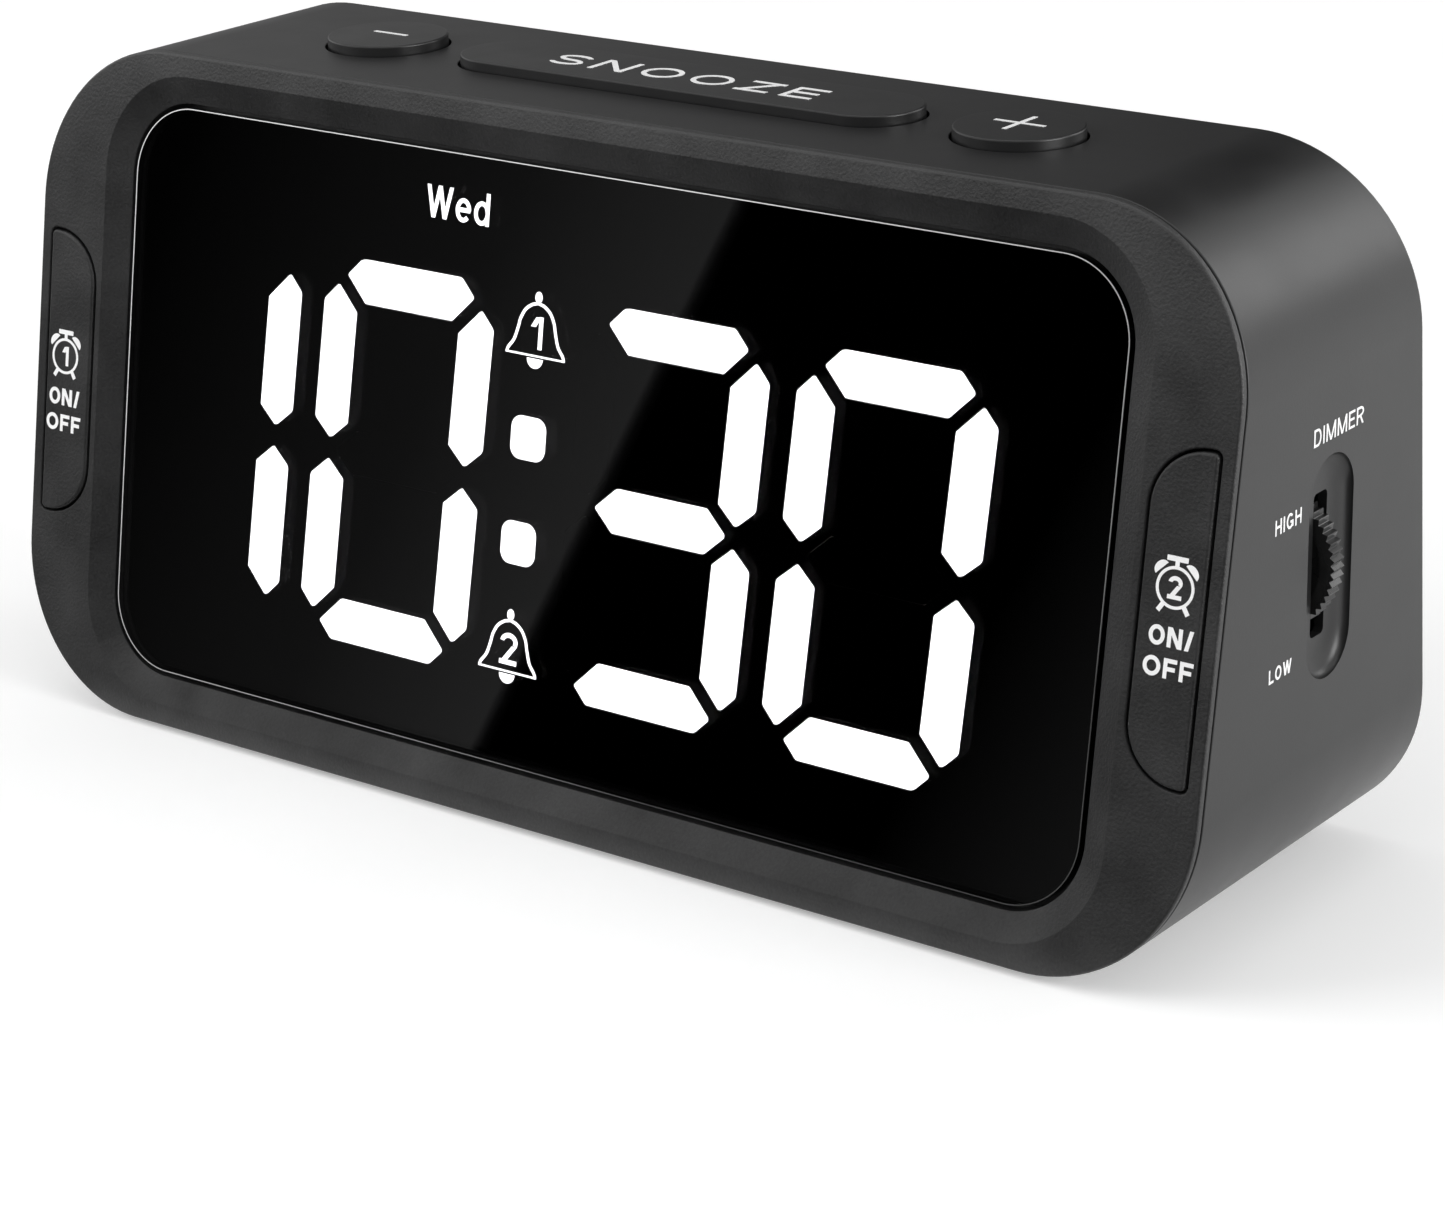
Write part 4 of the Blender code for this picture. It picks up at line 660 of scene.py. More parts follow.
class Lettering:
    """Flat marks on a plane, written with strokes of one weight and joined into clean solids."""

    # Each letter: its width as a share of its height, then its strokes. v is an upright, h a level one, s a
    # slanted one, o an arc of the whole letter, t and b bowls in its upper and lower half, x an arc at the
    # height of small letters. Places are shares of the letter's own box.
    SHAPES: dict[str, tuple[float, str]] = {
        "A": (0.80, "s 0 0 .5 1|s 1 0 .5 1|h .26 .18 .82"),
        "C": (0.76, "o 42 318"),
        "D": (0.76, "v 0|h 0 0 .5|h 1 0 .5|o -90 90"),
        "E": (0.66, "v 0|h 0 0 1|h .52 0 .92|h 1 0 1"),
        "F": (0.62, "v 0|h .48 0 .88|h 1 0 1"),
        "G": (0.80, "o 42 352|v 1 .1 .5|h .42 .55 1"),
        "H": (0.74, "v 0|v 1|h .52 0 1"),
        "I": (0.00, "v 0"),
        "L": (0.62, "v 0|h 0 0 1"),
        "M": (1.0, "v 0|v 1|s .5 0 0 1|s .5 0 1 1"),
        "N": (0.76, "v 0|v 1|s 1 0 0 1"),
        "O": (0.82, "o 0 360"),
        "R": (0.76, "v 0|h 1 0 .55|h .46 0 .55|t -90 90|s 1 0 .5 .5"),
        "S": (0.70, "t 22 270|b -158 90"),
        "T": (0.68, "h 1 0 1|v .5"),
        "V": (0.78, "s .5 0 0 1|s .5 0 1 1"),
        "W": (1.12, "s .25 0 0 1|s .25 0 .5 1|s .75 0 .5 1|s .75 0 1 1"),
        "Z": (0.70, "h 1 0 1|h 0 0 1|s 0 0 1 1"),
        "d": (0.64, "v 1|x 0 360"),
        "e": (0.64, "x 0 318|h .36 .05 .95"),
        "1": (0.46, "v 1|s 0 .68 .7 .98"),
        "2": (0.68, "t -28 172|h 0 0 1|s 0 .02 .96 .6"),
        "5": (0.70, "h 1 .12 .95|v .1 .46 1|b -152 118"),
        "/": (0.42, "s 0 0 1 1"),
        "-": (0.60, "h .5 0 1"),
        " ": (0.40, ""),
    }
    SMALL = 0.74

    def __init__(self, plane: Plane, front: float, back: float) -> None:
        """Marks on a plane from a front depth to a back depth."""
        self.plane = plane
        self.front = front
        self.back = back
        self.parts: list[tuple[Ring, list[list[int]]]] = []

    def ribbon(self, left: Outline, right: Outline, closed: bool = False) -> None:
        """A flat band between two lines of points."""
        rings = []
        for (lx, ly), (rx, ry) in zip(left, right):
            rings.append([
                self.plane.at(lx, ly, self.front), self.plane.at(rx, ry, self.front),
                self.plane.at(rx, ry, self.back), self.plane.at(lx, ly, self.back),
            ])
        self.parts.append(shell(rings, hollow=closed))

    def fill(self, outline: Outline) -> None:
        """A flat shape with no hole."""
        self.parts.append(shell([self.plane.ring(outline, self.front), self.plane.ring(outline, self.back)]))

    def line(self, points: Outline, weight: float, closed: bool = False) -> None:
        """A line of one weight through points."""
        left, right = [], []
        count = len(points)
        for i, point in enumerate(points):
            here = Vector(point)
            before = Vector(points[i - 1]) if i or closed else here
            after = Vector(points[(i + 1) % count]) if i < count - 1 or closed else here
            along = ((here - before).normalized() + (after - here).normalized()).normalized()
            side = Vector((-along.y, along.x)) * (weight / 2)
            left.append(tuple(here + side))
            right.append(tuple(here - side))
        self.ribbon(left, right, closed)

    def arc(self, centre: Point, radii: Point, weight: float, start: float, end: float) -> None:
        """Part of an elliptical ring, from its outer radii inwards."""
        whole = abs(end - start) >= 360
        steps = max(6, int(abs(end - start) / 7.5))
        sides: list[Outline] = [[], []]
        for i in range(steps + (not whole)):
            angle = math.radians(start + (end - start) * i / steps)
            for side, inset in zip(sides, (0.0, weight)):
                side.append((
                    centre[0] + (radii[0] - inset) * math.cos(angle),
                    centre[1] + (radii[1] - inset) * math.sin(angle),
                ))
        self.ribbon(sides[0], sides[1], whole)

    def letter(self, strokes: str, corner: Point, size: Point, weight: float) -> None:
        """One letter's strokes in a box from its lower left corner."""
        (x, y), (wide, tall) = corner, size
        half = (tall + weight) / 4
        small = tall * self.SMALL / 2
        for stroke in filter(None, strokes.split("|")):
            kind, *rest = stroke.split()
            at = [float(value) for value in rest]
            if kind == "v":
                left = x + at[0] * (wide - weight)
                low, high = (at[1], at[2]) if len(at) == 3 else (0.0, 1.0)
                self.ribbon([(left, y + low * tall), (left, y + high * tall)],
                            [(left + weight, y + low * tall), (left + weight, y + high * tall)])
            elif kind == "h":
                low = y + at[0] * (tall - weight)
                self.ribbon([(x + at[1] * wide, low), (x + at[2] * wide, low)],
                            [(x + at[1] * wide, low + weight), (x + at[2] * wide, low + weight)])
            elif kind == "s":
                rise, run = (at[3] - at[1]) * tall, (at[2] - at[0]) * (wide - weight)
                thick = min(weight * math.hypot(rise, run) / abs(rise), weight * 1.9)
                ends = [(x + at[k] * (wide - thick), y + at[k + 1] * tall) for k in (0, 2)]
                self.ribbon(ends, [(px + thick, py) for px, py in ends])
            elif kind == "o":
                self.arc((x + wide / 2, y + tall / 2), (wide / 2, tall / 2), weight, *at)
            elif kind == "x":
                self.arc((x + wide / 2, y + small), (wide / 2, small), weight, *at)
            else:
                up = y + (tall - half if kind == "t" else half)
                self.arc((x + wide / 2, up), (wide / 2, half), weight, *at)

    def write(
        self, text: str, centre: Point, height: float, weight: float, width: float = 0.0,
        space: float = 0.18,
    ) -> None:
        """Writes a word.

        Args:
            text: What it says.
            centre: Middle of the word.
            height: Height of its capitals.
            weight: Thickness of its strokes.
            width: Width of the whole word, or 0 for the letters' own.
            space: Gap between letters as a share of the height.
        """
        widths = [self.SHAPES[c][0] * height if self.SHAPES[c][0] else weight for c in text]
        total = sum(widths) + space * height * (len(text) - 1)
        stretch = width / total if width else 1.0
        x = centre[0] - total * stretch / 2
        for char, wide in zip(text, widths):
            own = weight if self.SHAPES[char][0] == 0 else wide * stretch
            self.letter(self.SHAPES[char][1], (x, centre[1] - height / 2), (own, height), weight)
            x += (wide + space * height) * stretch

    def bell(
        self, centre: Point, number: str, tall: float = 5.0, wide: float = 6.9, weight: float = 0.30,
    ) -> None:
        """A bell with its number inside, its knob above and its clapper below."""
        x, y = centre
        shape = (
            (0.5, 0.0), (0.475, 0.09), (0.385, 0.25), (0.325, 0.5), (0.29, 0.68), (0.21, 0.86),
            (0.1, 0.965),
        )
        side = [(x + sx * wide, y + sy * tall) for sx, sy in smooth_line(shape)]
        other = [(2 * x - px, py) for px, py in side[::-1]]
        self.line([*side, (x, y + tall), *other], weight, closed=True)
        self.fill([(x + px, y + tall + 0.55 + py) for px, py in ellipse(0.42, 0.55)])
        self.fill([(x + px, y - 0.25 + py) for px, py in ellipse(0.95, 0.95, 180, 360)])
        self.write(number, (x, y + tall * 0.44), tall * 0.62, weight * 1.55)

    def ringer(self, centre: Point, number: str, radius: float = 1.85) -> None:
        """A twin-bell clock with its number inside."""
        x, y = centre
        self.arc(centre, (radius, radius), 0.27, 0, 360)
        self.write(number, (x, y), radius * 1.08, 0.37)
        self.fill(rounded(2.05, 0.46, 0.06, (x, y + radius + 0.62), 2))
        self.ribbon([(x - 0.2, y + radius - 0.1), (x - 0.2, y + radius + 0.6)],
                    [(x + 0.2, y + radius - 0.1), (x + 0.2, y + radius + 0.6)])
        for side in (-1, 1):
            lean = Matrix.Rotation(math.radians(-44 * side), 2)
            ear = [lean @ Vector((px, radius + 0.2 + py)) for px, py in ellipse(0.78, 0.62, 0, 180)]
            self.fill([(x + p.x, y + p.y) for p in ear])
            lean = Matrix.Rotation(math.radians(34 * side), 2)
            foot, hip = -radius - 0.75, -radius + 0.1
            leg = [lean @ Vector(p) for p in ((-0.21, foot), (0.21, foot), (0.21, hip), (-0.21, hip))]
            self.fill([(x + p.x, y + p.y) for p in leg])

    def finish(self, name: str, material: bpy.types.Material) -> bpy.types.Object:
        """Joins the strokes into one solid per mark and gives them their finish."""
        growth = Growth(name + "_join")
        union = growth.node(
            "MeshBoolean", {"Mesh 2": growth.start.outputs["Geometry"]}, operation="UNION", solver="EXACT",
        )
        union.inputs["Self Intersection"].default_value = True
        return growth.grow(name, union.outputs["Mesh"], material, solid(name, self.parts))


def ellipse(wide: float, tall: float, start: float = 0.0, end: float = 360.0, steps: int = 24) -> Outline:
    """An ellipse or a part of one that its chord closes, anticlockwise."""
    count = steps if end - start >= 360 else steps + 1
    angles = [math.radians(start + (end - start) * i / steps) for i in range(count)]
    return [(wide * math.cos(a), tall * math.sin(a)) for a in angles]


def smooth_line(points: Sequence[Point], steps: int = 4) -> Outline:
    """A smooth line through points, with extra ones between them."""
    made: Outline = []
    last = len(points) - 1
    for i in range(last):
        p = [Vector(points[min(max(i + k, 0), last)]) for k in (-1, 0, 1, 2)]
        for step in range(steps):
            t = step / steps
            place = 0.5 * (
                2 * p[1] + (p[2] - p[0]) * t
                + (2 * p[0] - 5 * p[1] + 4 * p[2] - p[3]) * t * t
                + (3 * p[1] - p[0] - 3 * p[2] + p[3]) * t ** 3
            )
            made.append((place.x, place.y))
    return made + [tuple(points[-1])]


# ---------------------------------------------------------------- the clock's layout


@dataclass(frozen=True)
class Layout:
    """The clock's main sizes and planes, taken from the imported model's boxes."""

    low: Vector = field(default_factory=lambda: Vector(
        (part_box("housing")[0].x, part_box("front_bezel")[0].y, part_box("housing")[0].z)) / MM)
    high: Vector = field(default_factory=lambda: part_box("housing")[1] / MM)
    front_lean: float = math.radians(9.64)
    back_lean: float = math.radians(4.75)
    corner: float = 16.2
    wall: float = 2.0
    keys_y: float = 3.3
    keys_spread: float = 37.2
    round_key: float = 6.0
    long_key: Point = (52.5, 10.0)

    @property
    def width(self) -> float:
        """Width of the case."""
        return self.high.x - self.low.x

    @property
    def height(self) -> float:
        """Height of the case without its feet."""
        return self.high.z - self.low.z

    @property
    def slope_height(self) -> float:
        """Height of the face along its slope."""
        return self.height / math.cos(self.front_lean)

    @property
    def back_height(self) -> float:
        """Height of the back along its slope."""
        return self.height / math.cos(self.back_lean)

    @property
    def face(self) -> Plane:
        """The leaning face, from the middle of its bottom edge."""
        lean = self.front_lean
        return Plane(
            Vector((0, self.low.y, self.low.z)), Vector((1, 0, 0)),
            Vector((0, math.sin(lean), math.cos(lean))), Vector((0, math.cos(lean), -math.sin(lean))),
        )

    @property
    def back(self) -> Plane:
        """The leaning back. Its u runs towards -X, so that words on it read from behind."""
        lean = self.back_lean
        return Plane(
            Vector((0, -self.low.y, self.low.z)), Vector((-1, 0, 0)),
            Vector((0, -math.sin(lean), math.cos(lean))), Vector((0, -math.cos(lean), -math.sin(lean))),
        )

    @property
    def top(self) -> Plane:
        """The top, with depths downwards."""
        return Plane(Vector((0, 0, self.high.z)), Vector((1, 0, 0)), Vector((0, 1, 0)), Vector((0, 0, -1)))

    @property
    def side(self) -> Plane:
        """The right side, with u towards the back."""
        return Plane(
            Vector((self.high.x, 0, self.low.z)), Vector((0, 1, 0)), Vector((0, 0, 1)), Vector((-1, 0, 0)),
        )

    def section(self, inset: float, steps: int = CORNER_STEPS) -> Outline:
        """The case's section across Y, this far inside its surface, as (X, height above its bottom)."""
        return rounded(
            self.width - 2 * inset, self.height - 2 * inset, self.corner - inset, (
                0.0, self.height / 2,
            ), steps
        )

    def front_ring(self, inset: float, depth: float) -> Ring:
        """The section on a plane at a depth behind the face."""
        shift = depth / math.cos(self.front_lean)
        slope = math.tan(self.front_lean)
        return [Vector((x, self.low.y + z * slope + shift, self.low.z + z)) for x, z in self.section(inset)]

    def back_ring(self, inset: float, depth: float) -> Ring:
        """The section on a plane at a depth inside the back."""
        shift = depth / math.cos(self.back_lean)
        slope = math.tan(self.back_lean)
        return [Vector((x, -self.low.y - z * slope - shift, self.low.z + z)) for x, z in self.section(inset)]


def quarter(radius: float) -> list[Point]:
    """(inset, depth) pairs round an edge, from the side to the face."""
    turns = [i / EDGE_STEPS * math.pi / 2 for i in range(EDGE_STEPS + 1)]
    return [(radius * (1 - math.cos(a)), radius * (1 - math.sin(a))) for a in turns]


def grey(level: float) -> Colour:
    """A neutral colour."""
    return (level, level, level)


class Workshop:
    """Holds the finishes and hands each piece to its body."""

    def __init__(self) -> None:
        """Makes every finish once."""
        finishes = (
            Finish(
                "case_plastic", (0.0085, 0.0085, 0.0088), (0.0125, 0.0125, 0.0128), (0.34, 0.39), 0.16,
                0.006, 8.0,
            ),
            Finish(
                "key_plastic", (0.0075, 0.0075, 0.0078), (0.0105, 0.0105, 0.0108), (0.30, 0.36), 0.12,
                0.004, 6.0,
            ),
            Finish(
                "bezel_plastic", (0.007, 0.007, 0.0072), (0.026, 0.026, 0.0265), (0.44, 0.52), 0.28, 0.060,
                7.0, specular=0.6,
            ),
            Finish("printed_white", grey(0.86), grey(0.92), (0.45, 0.55), 0.1, 0.002, 3.0),
            Finish("mask_film", grey(0.0003), grey(0.0006), (0.75, 0.85), 0.2, 0.003, 9.0, specular=0.02),
            # Painted shade: the unlit bars are white guide plastic, given a near-black tone for the shade
            # behind the window.
            Finish("unlit_guide_painted_shade", grey(0.0003), grey(0.0007), (0.7, 0.8), 0.2, 0.002, 4.0, specular=0.02),
            # Painted highlight for the window's edge: a base colour from 0.06 to 0.75, bright at the top left.
            Finish(
                "painted_highlight_edge", grey(0.06), grey(0.75), (0.15, 0.25), 0.2, 0.001, 9.0,
                pattern=Pattern.FADING,
            ),
            Finish("rubber", grey(0.012), grey(0.022), (0.78, 0.9), 0.3, 0.02, 3.0),
            Finish("knob_plastic", grey(0.008), grey(0.016), (0.24, 0.32), 0.15, 0.005, 3.0),
            Finish(
                "steel", (0.42, 0.42, 0.43), (0.62, 0.62, 0.63), (0.24, 0.36), 0.12, 0.004, 2.0, metal=1.0,
            ),
            Finish(
                "spring_wire", (0.55, 0.55, 0.54), (0.75, 0.75, 0.74), (0.2, 0.3), 0.1, 0.002, 2.0,
                metal=1.0,
            ),
            Finish(
                "board", (0.012, 0.10, 0.035), (0.03, 0.17, 0.06), (0.3, 0.4), 0.3, 0.004, 5.0, coat=0.3,
                pattern=Pattern.TRACKS,
            ),
            Finish("diffuser", (0.72, 0.72, 0.70), (0.82, 0.82, 0.80), (0.45, 0.55), 0.3, 0.004, 6.0),
            Finish("switch_body", grey(0.018), grey(0.035), (0.4, 0.5), 0.2, 0.006, 3.0),
            Finish("flat_cable", grey(0.30), grey(0.44), (0.5, 0.6), 0.3, 0.006, 3.0),
            Finish(
                "cell_jacket", (0.02, 0.07, 0.20), (0.04, 0.12, 0.30), (0.2, 0.3), 0.2, 0.002, 9.0,
                coat=0.4,
            ),
        )
        self.finish = {made.name: made.build() for made in finishes}
        self.finish["smoked_glass"] = Glass("smoked_glass", (0.22, 0.22, 0.225), 0.0).build()
        self.finish["lit_guide"] = Glow("lit_guide", grey(1.0), 9.0).build()

    def deliver(
        self, obj: bpy.types.Object, finish: str, body: str, slot: str, nodes: Sequence[str] = (),
        smooth: float = SMOOTH_ANGLE,
    ) -> bpy.types.Object:
        """Finishes a piece and gives it to its body.

        Args:
            obj: The piece.
            finish: Name of its finish, or "" to keep what it has.
            body: Body that it moves with.
            slot: The record's slot that its finish comes from; not used.
            nodes: Nodes that it stands for.
            smooth: Steepest angle that is shaded smoothly.

        Returns:
            The piece.
        """
        if finish:
            obj.data.materials.clear()
            obj.data.materials.append(self.finish[finish])
        obj.data.shade_smooth()
        obj.data.set_sharp_from_angle(angle=smooth)
        even = obj.modifiers.new("even", "WEIGHTED_NORMAL")
        even.weight = 100
        even.keep_sharp = True
        baked(obj)
        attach(obj, body)
        if nodes:
            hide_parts(*nodes)
        LOG.info("%s rides on %s", obj.name, body)
        return obj

    def printed(self, words: Lettering, name: str, body: str, slot: str) -> None:
        """Gives printed white words to a body."""
        self.deliver(words.finish(name, self.finish["printed_white"]), "", body, slot)

    def dress(self, nodes: Iterable[str], finish: str) -> None:
        """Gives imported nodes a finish."""
        for name in nodes:
            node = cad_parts[name]
            node.data.materials.clear()
            node.data.materials.append(self.finish[finish])
            LOG.info("%s is finished with %s", name, finish)


# ---------------------------------------------------------------- sub-assemblies


@dataclass
class Case:
    """The sleeve with its key holes, its dimmer dish, and its feet."""

    shop: Workshop
    layout: Layout
    start: float = 0.95
    front_edge: float = 0.16
    back_edge: float = 0.6
    key_gap: float = 0.25
    lip: float = 0.12
    foot: float = 8.0
    foot_places: tuple[Point, ...] = ((-46.0, -12.0), (46.0, -12.0), (-46.0, 12.0), (46.0, 12.0))
    dish: tuple[float, float, float] = (7.9, 20.6, 1.1)
    dish_place: Point = (2.1, 33.4)
    dish_lip: float = 0.5
    dish_steps: int = 14
    slot: Point = (2.4, 13.3)

    def sleeve(self) -> bpy.types.Object:
        """The hollow sleeve between the leaning planes."""
        layout, wall = self.layout, self.layout.wall
        rings = [
            layout.front_ring(inset, self.start + depth) for inset, depth in quarter(self.front_edge)[::-1]
        ]
        rings += [layout.back_ring(inset, depth) for inset, depth in quarter(self.back_edge)]
        rings.append(layout.back_ring(wall, 0.0))
        rings.append(layout.back_ring(wall, 2.0))
        rings.append(layout.front_ring(wall, self.start + 6.0))
        rings.append(layout.front_ring(wall, self.start))
        return solid("case_sleeve", [shell(rings, hollow=True)])

    def dish_cutter(self) -> bpy.types.Object:
        """The scooped dish in the side: a swept arc with round, rising ends."""
        wide, tall, deep = self.dish
        y, z = self.dish_place
        mouth = stadium(tall + self.dish_lip, wide + self.dish_lip)
        levels = [(mouth, -3.0), (mouth, -self.dish_lip / 2)]
        for i in range(self.dish_steps):
            share = i / self.dish_steps
            inset = wide / 2 * (1 - math.sqrt(1 - share ** 2)) + 0.01
            levels.append((stadium(tall - 2 * inset, wide - 2 * inset), deep * math.sin(share * math.pi / 2)))
        side = self.layout.side
        rings = [side.ring([(y - v, z + u) for u, v in outline], depth) for outline, depth in levels]
        return solid("cutter", [shell(rings)])

    def build(self) -> None:
        """Makes the sleeve, cuts it and puts the feet under it."""
        layout = self.layout
        sleeve = self.sleeve()
        long, wide = (size + 2 * self.key_gap for size in layout.long_key)
        holes = [flare(layout.top, stadium(long, wide, (0, layout.keys_y)), THROUGH, self.lip)]
        for x in (-layout.keys_spread, layout.keys_spread):
            outline = circle(layout.round_key + self.key_gap, (x, layout.keys_y))
            holes.append(flare(layout.top, outline, THROUGH, self.lip))
        y, z = self.dish_place
        slot = rounded(self.slot[0], self.slot[1], 0.5, (y, z), 4)
        holes += [self.dish_cutter(), plate("cutter", layout.side, slot, -3.0, 4.0)]
        combine(sleeve, holes)
        self.shop.deliver(sleeve, "case_plastic", "case", "case_black", ["housing"])
        ground = Plane(Vector((0, 0, 0)), Vector((1, 0, 0)), Vector((0, 1, 0)), Vector((0, 0, 1)))
        for number, place in enumerate(self.foot_places, 1):
            pad = plate(f"foot_pad_{number}", ground, circle(self.foot / 2, place), 0.0, 0.9, 0.15)
            self.shop.deliver(pad, "rubber", "case", "foot_rubber", [f"foot_{number}"])

    def legends(self) -> None:
        """Prints the dimmer's words on the side."""
        words = Lettering(self.layout.side, -PRINT_PROUD, PRINT_SUNK)
        words.write("DIMMER", (3.0, 45.9), 1.6, 0.22, 8.8, 0.2)
        words.write("HIGH", (-5.5, 39.7), 1.4, 0.22, 4.5, 0.22)
        words.write("LOW", (-6.25, 26.35), 1.3, 0.22, 3.9, 0.2)
        self.shop.printed(words, "dimmer_words", "case", "case_black")


@dataclass
class Bezel:
    """The front frame with its chamfered recess and the alarm keys in it."""

    shop: Workshop
    layout: Layout
    rim: float = 0.65
    edge: float = 0.28
    plug_inset: float = 1.3
    plug_depth: float = 3.8
    side_margin: float = 8.7
    end_margin: float = 2.15
    radius: float = 10.5
    chamfer: float = 2.65
    sink: float = 1.2
    lip: float = 0.3
    ledge: float = 0.6
    key_gap: float = 0.25
    key_lip: float = 0.18
    key_margins: Point = (7.7, 1.6)
    key_height: float = 29.0
    key_radii: Point = (5.2, 0.5)
    key_proud: float = 0.2
    key_edge: float = 0.3

    def opening(self, inset: float) -> Outline:
        """The recess outline, this far in from its outer edge."""
        return rounded(
            self.layout.width - 2 * (self.side_margin + inset),
            self.layout.slope_height - 2 * (self.end_margin + inset),
            self.radius - inset, (0.0, self.layout.slope_height / 2),
        )

    def key_outline(self, hand: int, grow: float) -> Outline:
        """An alarm key's outline on the left (-1) or right (1)."""
        half_width = self.layout.width / 2
        inner, outer = half_width - self.key_margins[0], half_width - self.key_margins[1]
        half = self.key_height / 2
        large, small = self.key_radii
        corners = [(inner, -half, large), (outer, -half, small), (outer, half, small), (inner, half, large)]
        outline = moved(soft_corners(corners, 12), 0.0, self.layout.slope_height / 2)
        return grown(mirrored(outline, hand), grow)

    def build(self) -> None:
        """Makes the frame and cuts the keys' holes."""
        layout, face = self.layout, self.layout.face
        rings = [
            layout.front_ring(self.plug_inset, self.plug_depth),
            layout.front_ring(self.plug_inset, self.rim),
        ]
        rings.append(layout.front_ring(0.0, self.rim))
        rings += [layout.front_ring(inset, depth) for inset, depth in quarter(self.edge)]
        slope = math.atan2(self.sink, self.chamfer)
        for i in range(EDGE_STEPS + 1):
            turn = slope * i / EDGE_STEPS
            reach = self.lip * math.tan(slope / 2)
            inset = reach - self.lip * math.sin(turn)
            rings.append(face.ring(self.opening(-inset), self.lip * (1 - math.cos(turn))))
        rings.append(face.ring(self.opening(self.chamfer - 0.12), self.sink - 0.05))
        rings.append(face.ring(self.opening(self.chamfer), self.sink + 0.04))
        rings.append(face.ring(self.opening(self.chamfer), self.sink + 1.8))
        rings.append(face.ring(self.opening(self.chamfer + self.ledge), self.sink + 1.8))
        rings.append(face.ring(self.opening(self.chamfer + self.ledge), self.plug_depth))
        bezel = solid("front_frame", [shell(rings, hollow=True)])
        cutters = [flare(face, self.key_outline(hand, self.key_gap), 6.0, self.key_lip) for hand in (-1, 1)]
        combine(bezel, cutters)
        self.shop.deliver(bezel, "bezel_plastic", "case", "case_black", ["front_bezel"])

    def keys(self) -> None:
        """Makes the alarm keys and prints their marks."""
        face = self.layout.face
        marks = ((1, -1, (-65.75, 35.8)), (2, 1, (65.6, 36.75)))
        for number, hand, (x, up) in marks:
            body = f"alarm_{number}_key"
            key = plate(
                f"alarm_{number}_cap", face, self.key_outline(hand, 0.0), -self.key_proud, 5.0,
                self.key_edge,
            )
            self.shop.deliver(key, "bezel_plastic", body, "key_black", [body])
            words = Lettering(face, -self.key_proud - PRINT_PROUD, -self.key_proud + PRINT_SUNK)
            words.ringer((x, up), str(number))
            words.write("ON/", (x + 0.1, up - 4.25), 1.75, 0.37, 4.3, 0.14)
            words.write("OFF", (x + 0.1, up - 6.95), 1.75, 0.37, 4.85, 0.14)
            self.shop.printed(words, f"alarm_{number}_words", body, "key_black")


@dataclass
class TopKeys:
    """The minus, snooze and plus keys on the top."""

    shop: Workshop
    layout: Layout
    proud: float = 1.0
    edge: float = 0.2
    depth: float = 3.5
    weight: float = 0.46

    def build(self) -> None:
        """Makes the caps and prints their marks."""
        layout = self.layout
        outlines = {
            "minus": circle(layout.round_key, (-layout.keys_spread, layout.keys_y)),
            "snooze": stadium(*layout.long_key, (0.0, layout.keys_y)),
            "plus": circle(layout.round_key, (layout.keys_spread, layout.keys_y)),
        }
        for name, outline in outlines.items():
            cap = plate(f"{name}_cap", self.layout.top, outline, -self.proud, self.depth, self.edge)
            self.shop.deliver(cap, "key_plastic", f"{name}_key", "key_black", [f"{name}_key"])
            marks = Lettering(self.layout.top, -self.proud - PRINT_PROUD, -self.proud + PRINT_SUNK)
            if name == "minus":
                marks.write("-", (-37.1, 3.65), self.weight * 3, self.weight, 4.2)
            elif name == "plus":
                marks.write("-", (36.9, 3.85), self.weight * 3, self.weight, 5.3)
                marks.ribbon([(36.9 - self.weight / 2, 1.2), (36.9 - self.weight / 2, 6.5)],
                             [(36.9 + self.weight / 2, 1.2), (36.9 + self.weight / 2, 6.5)])
            else:
                marks.write("SNOOZE", (-0.1, 3.4), 3.8, self.weight * 1.15, 31.2, 0.28)
            self.shop.printed(marks, f"{name}_mark", f"{name}_key", "key_black")


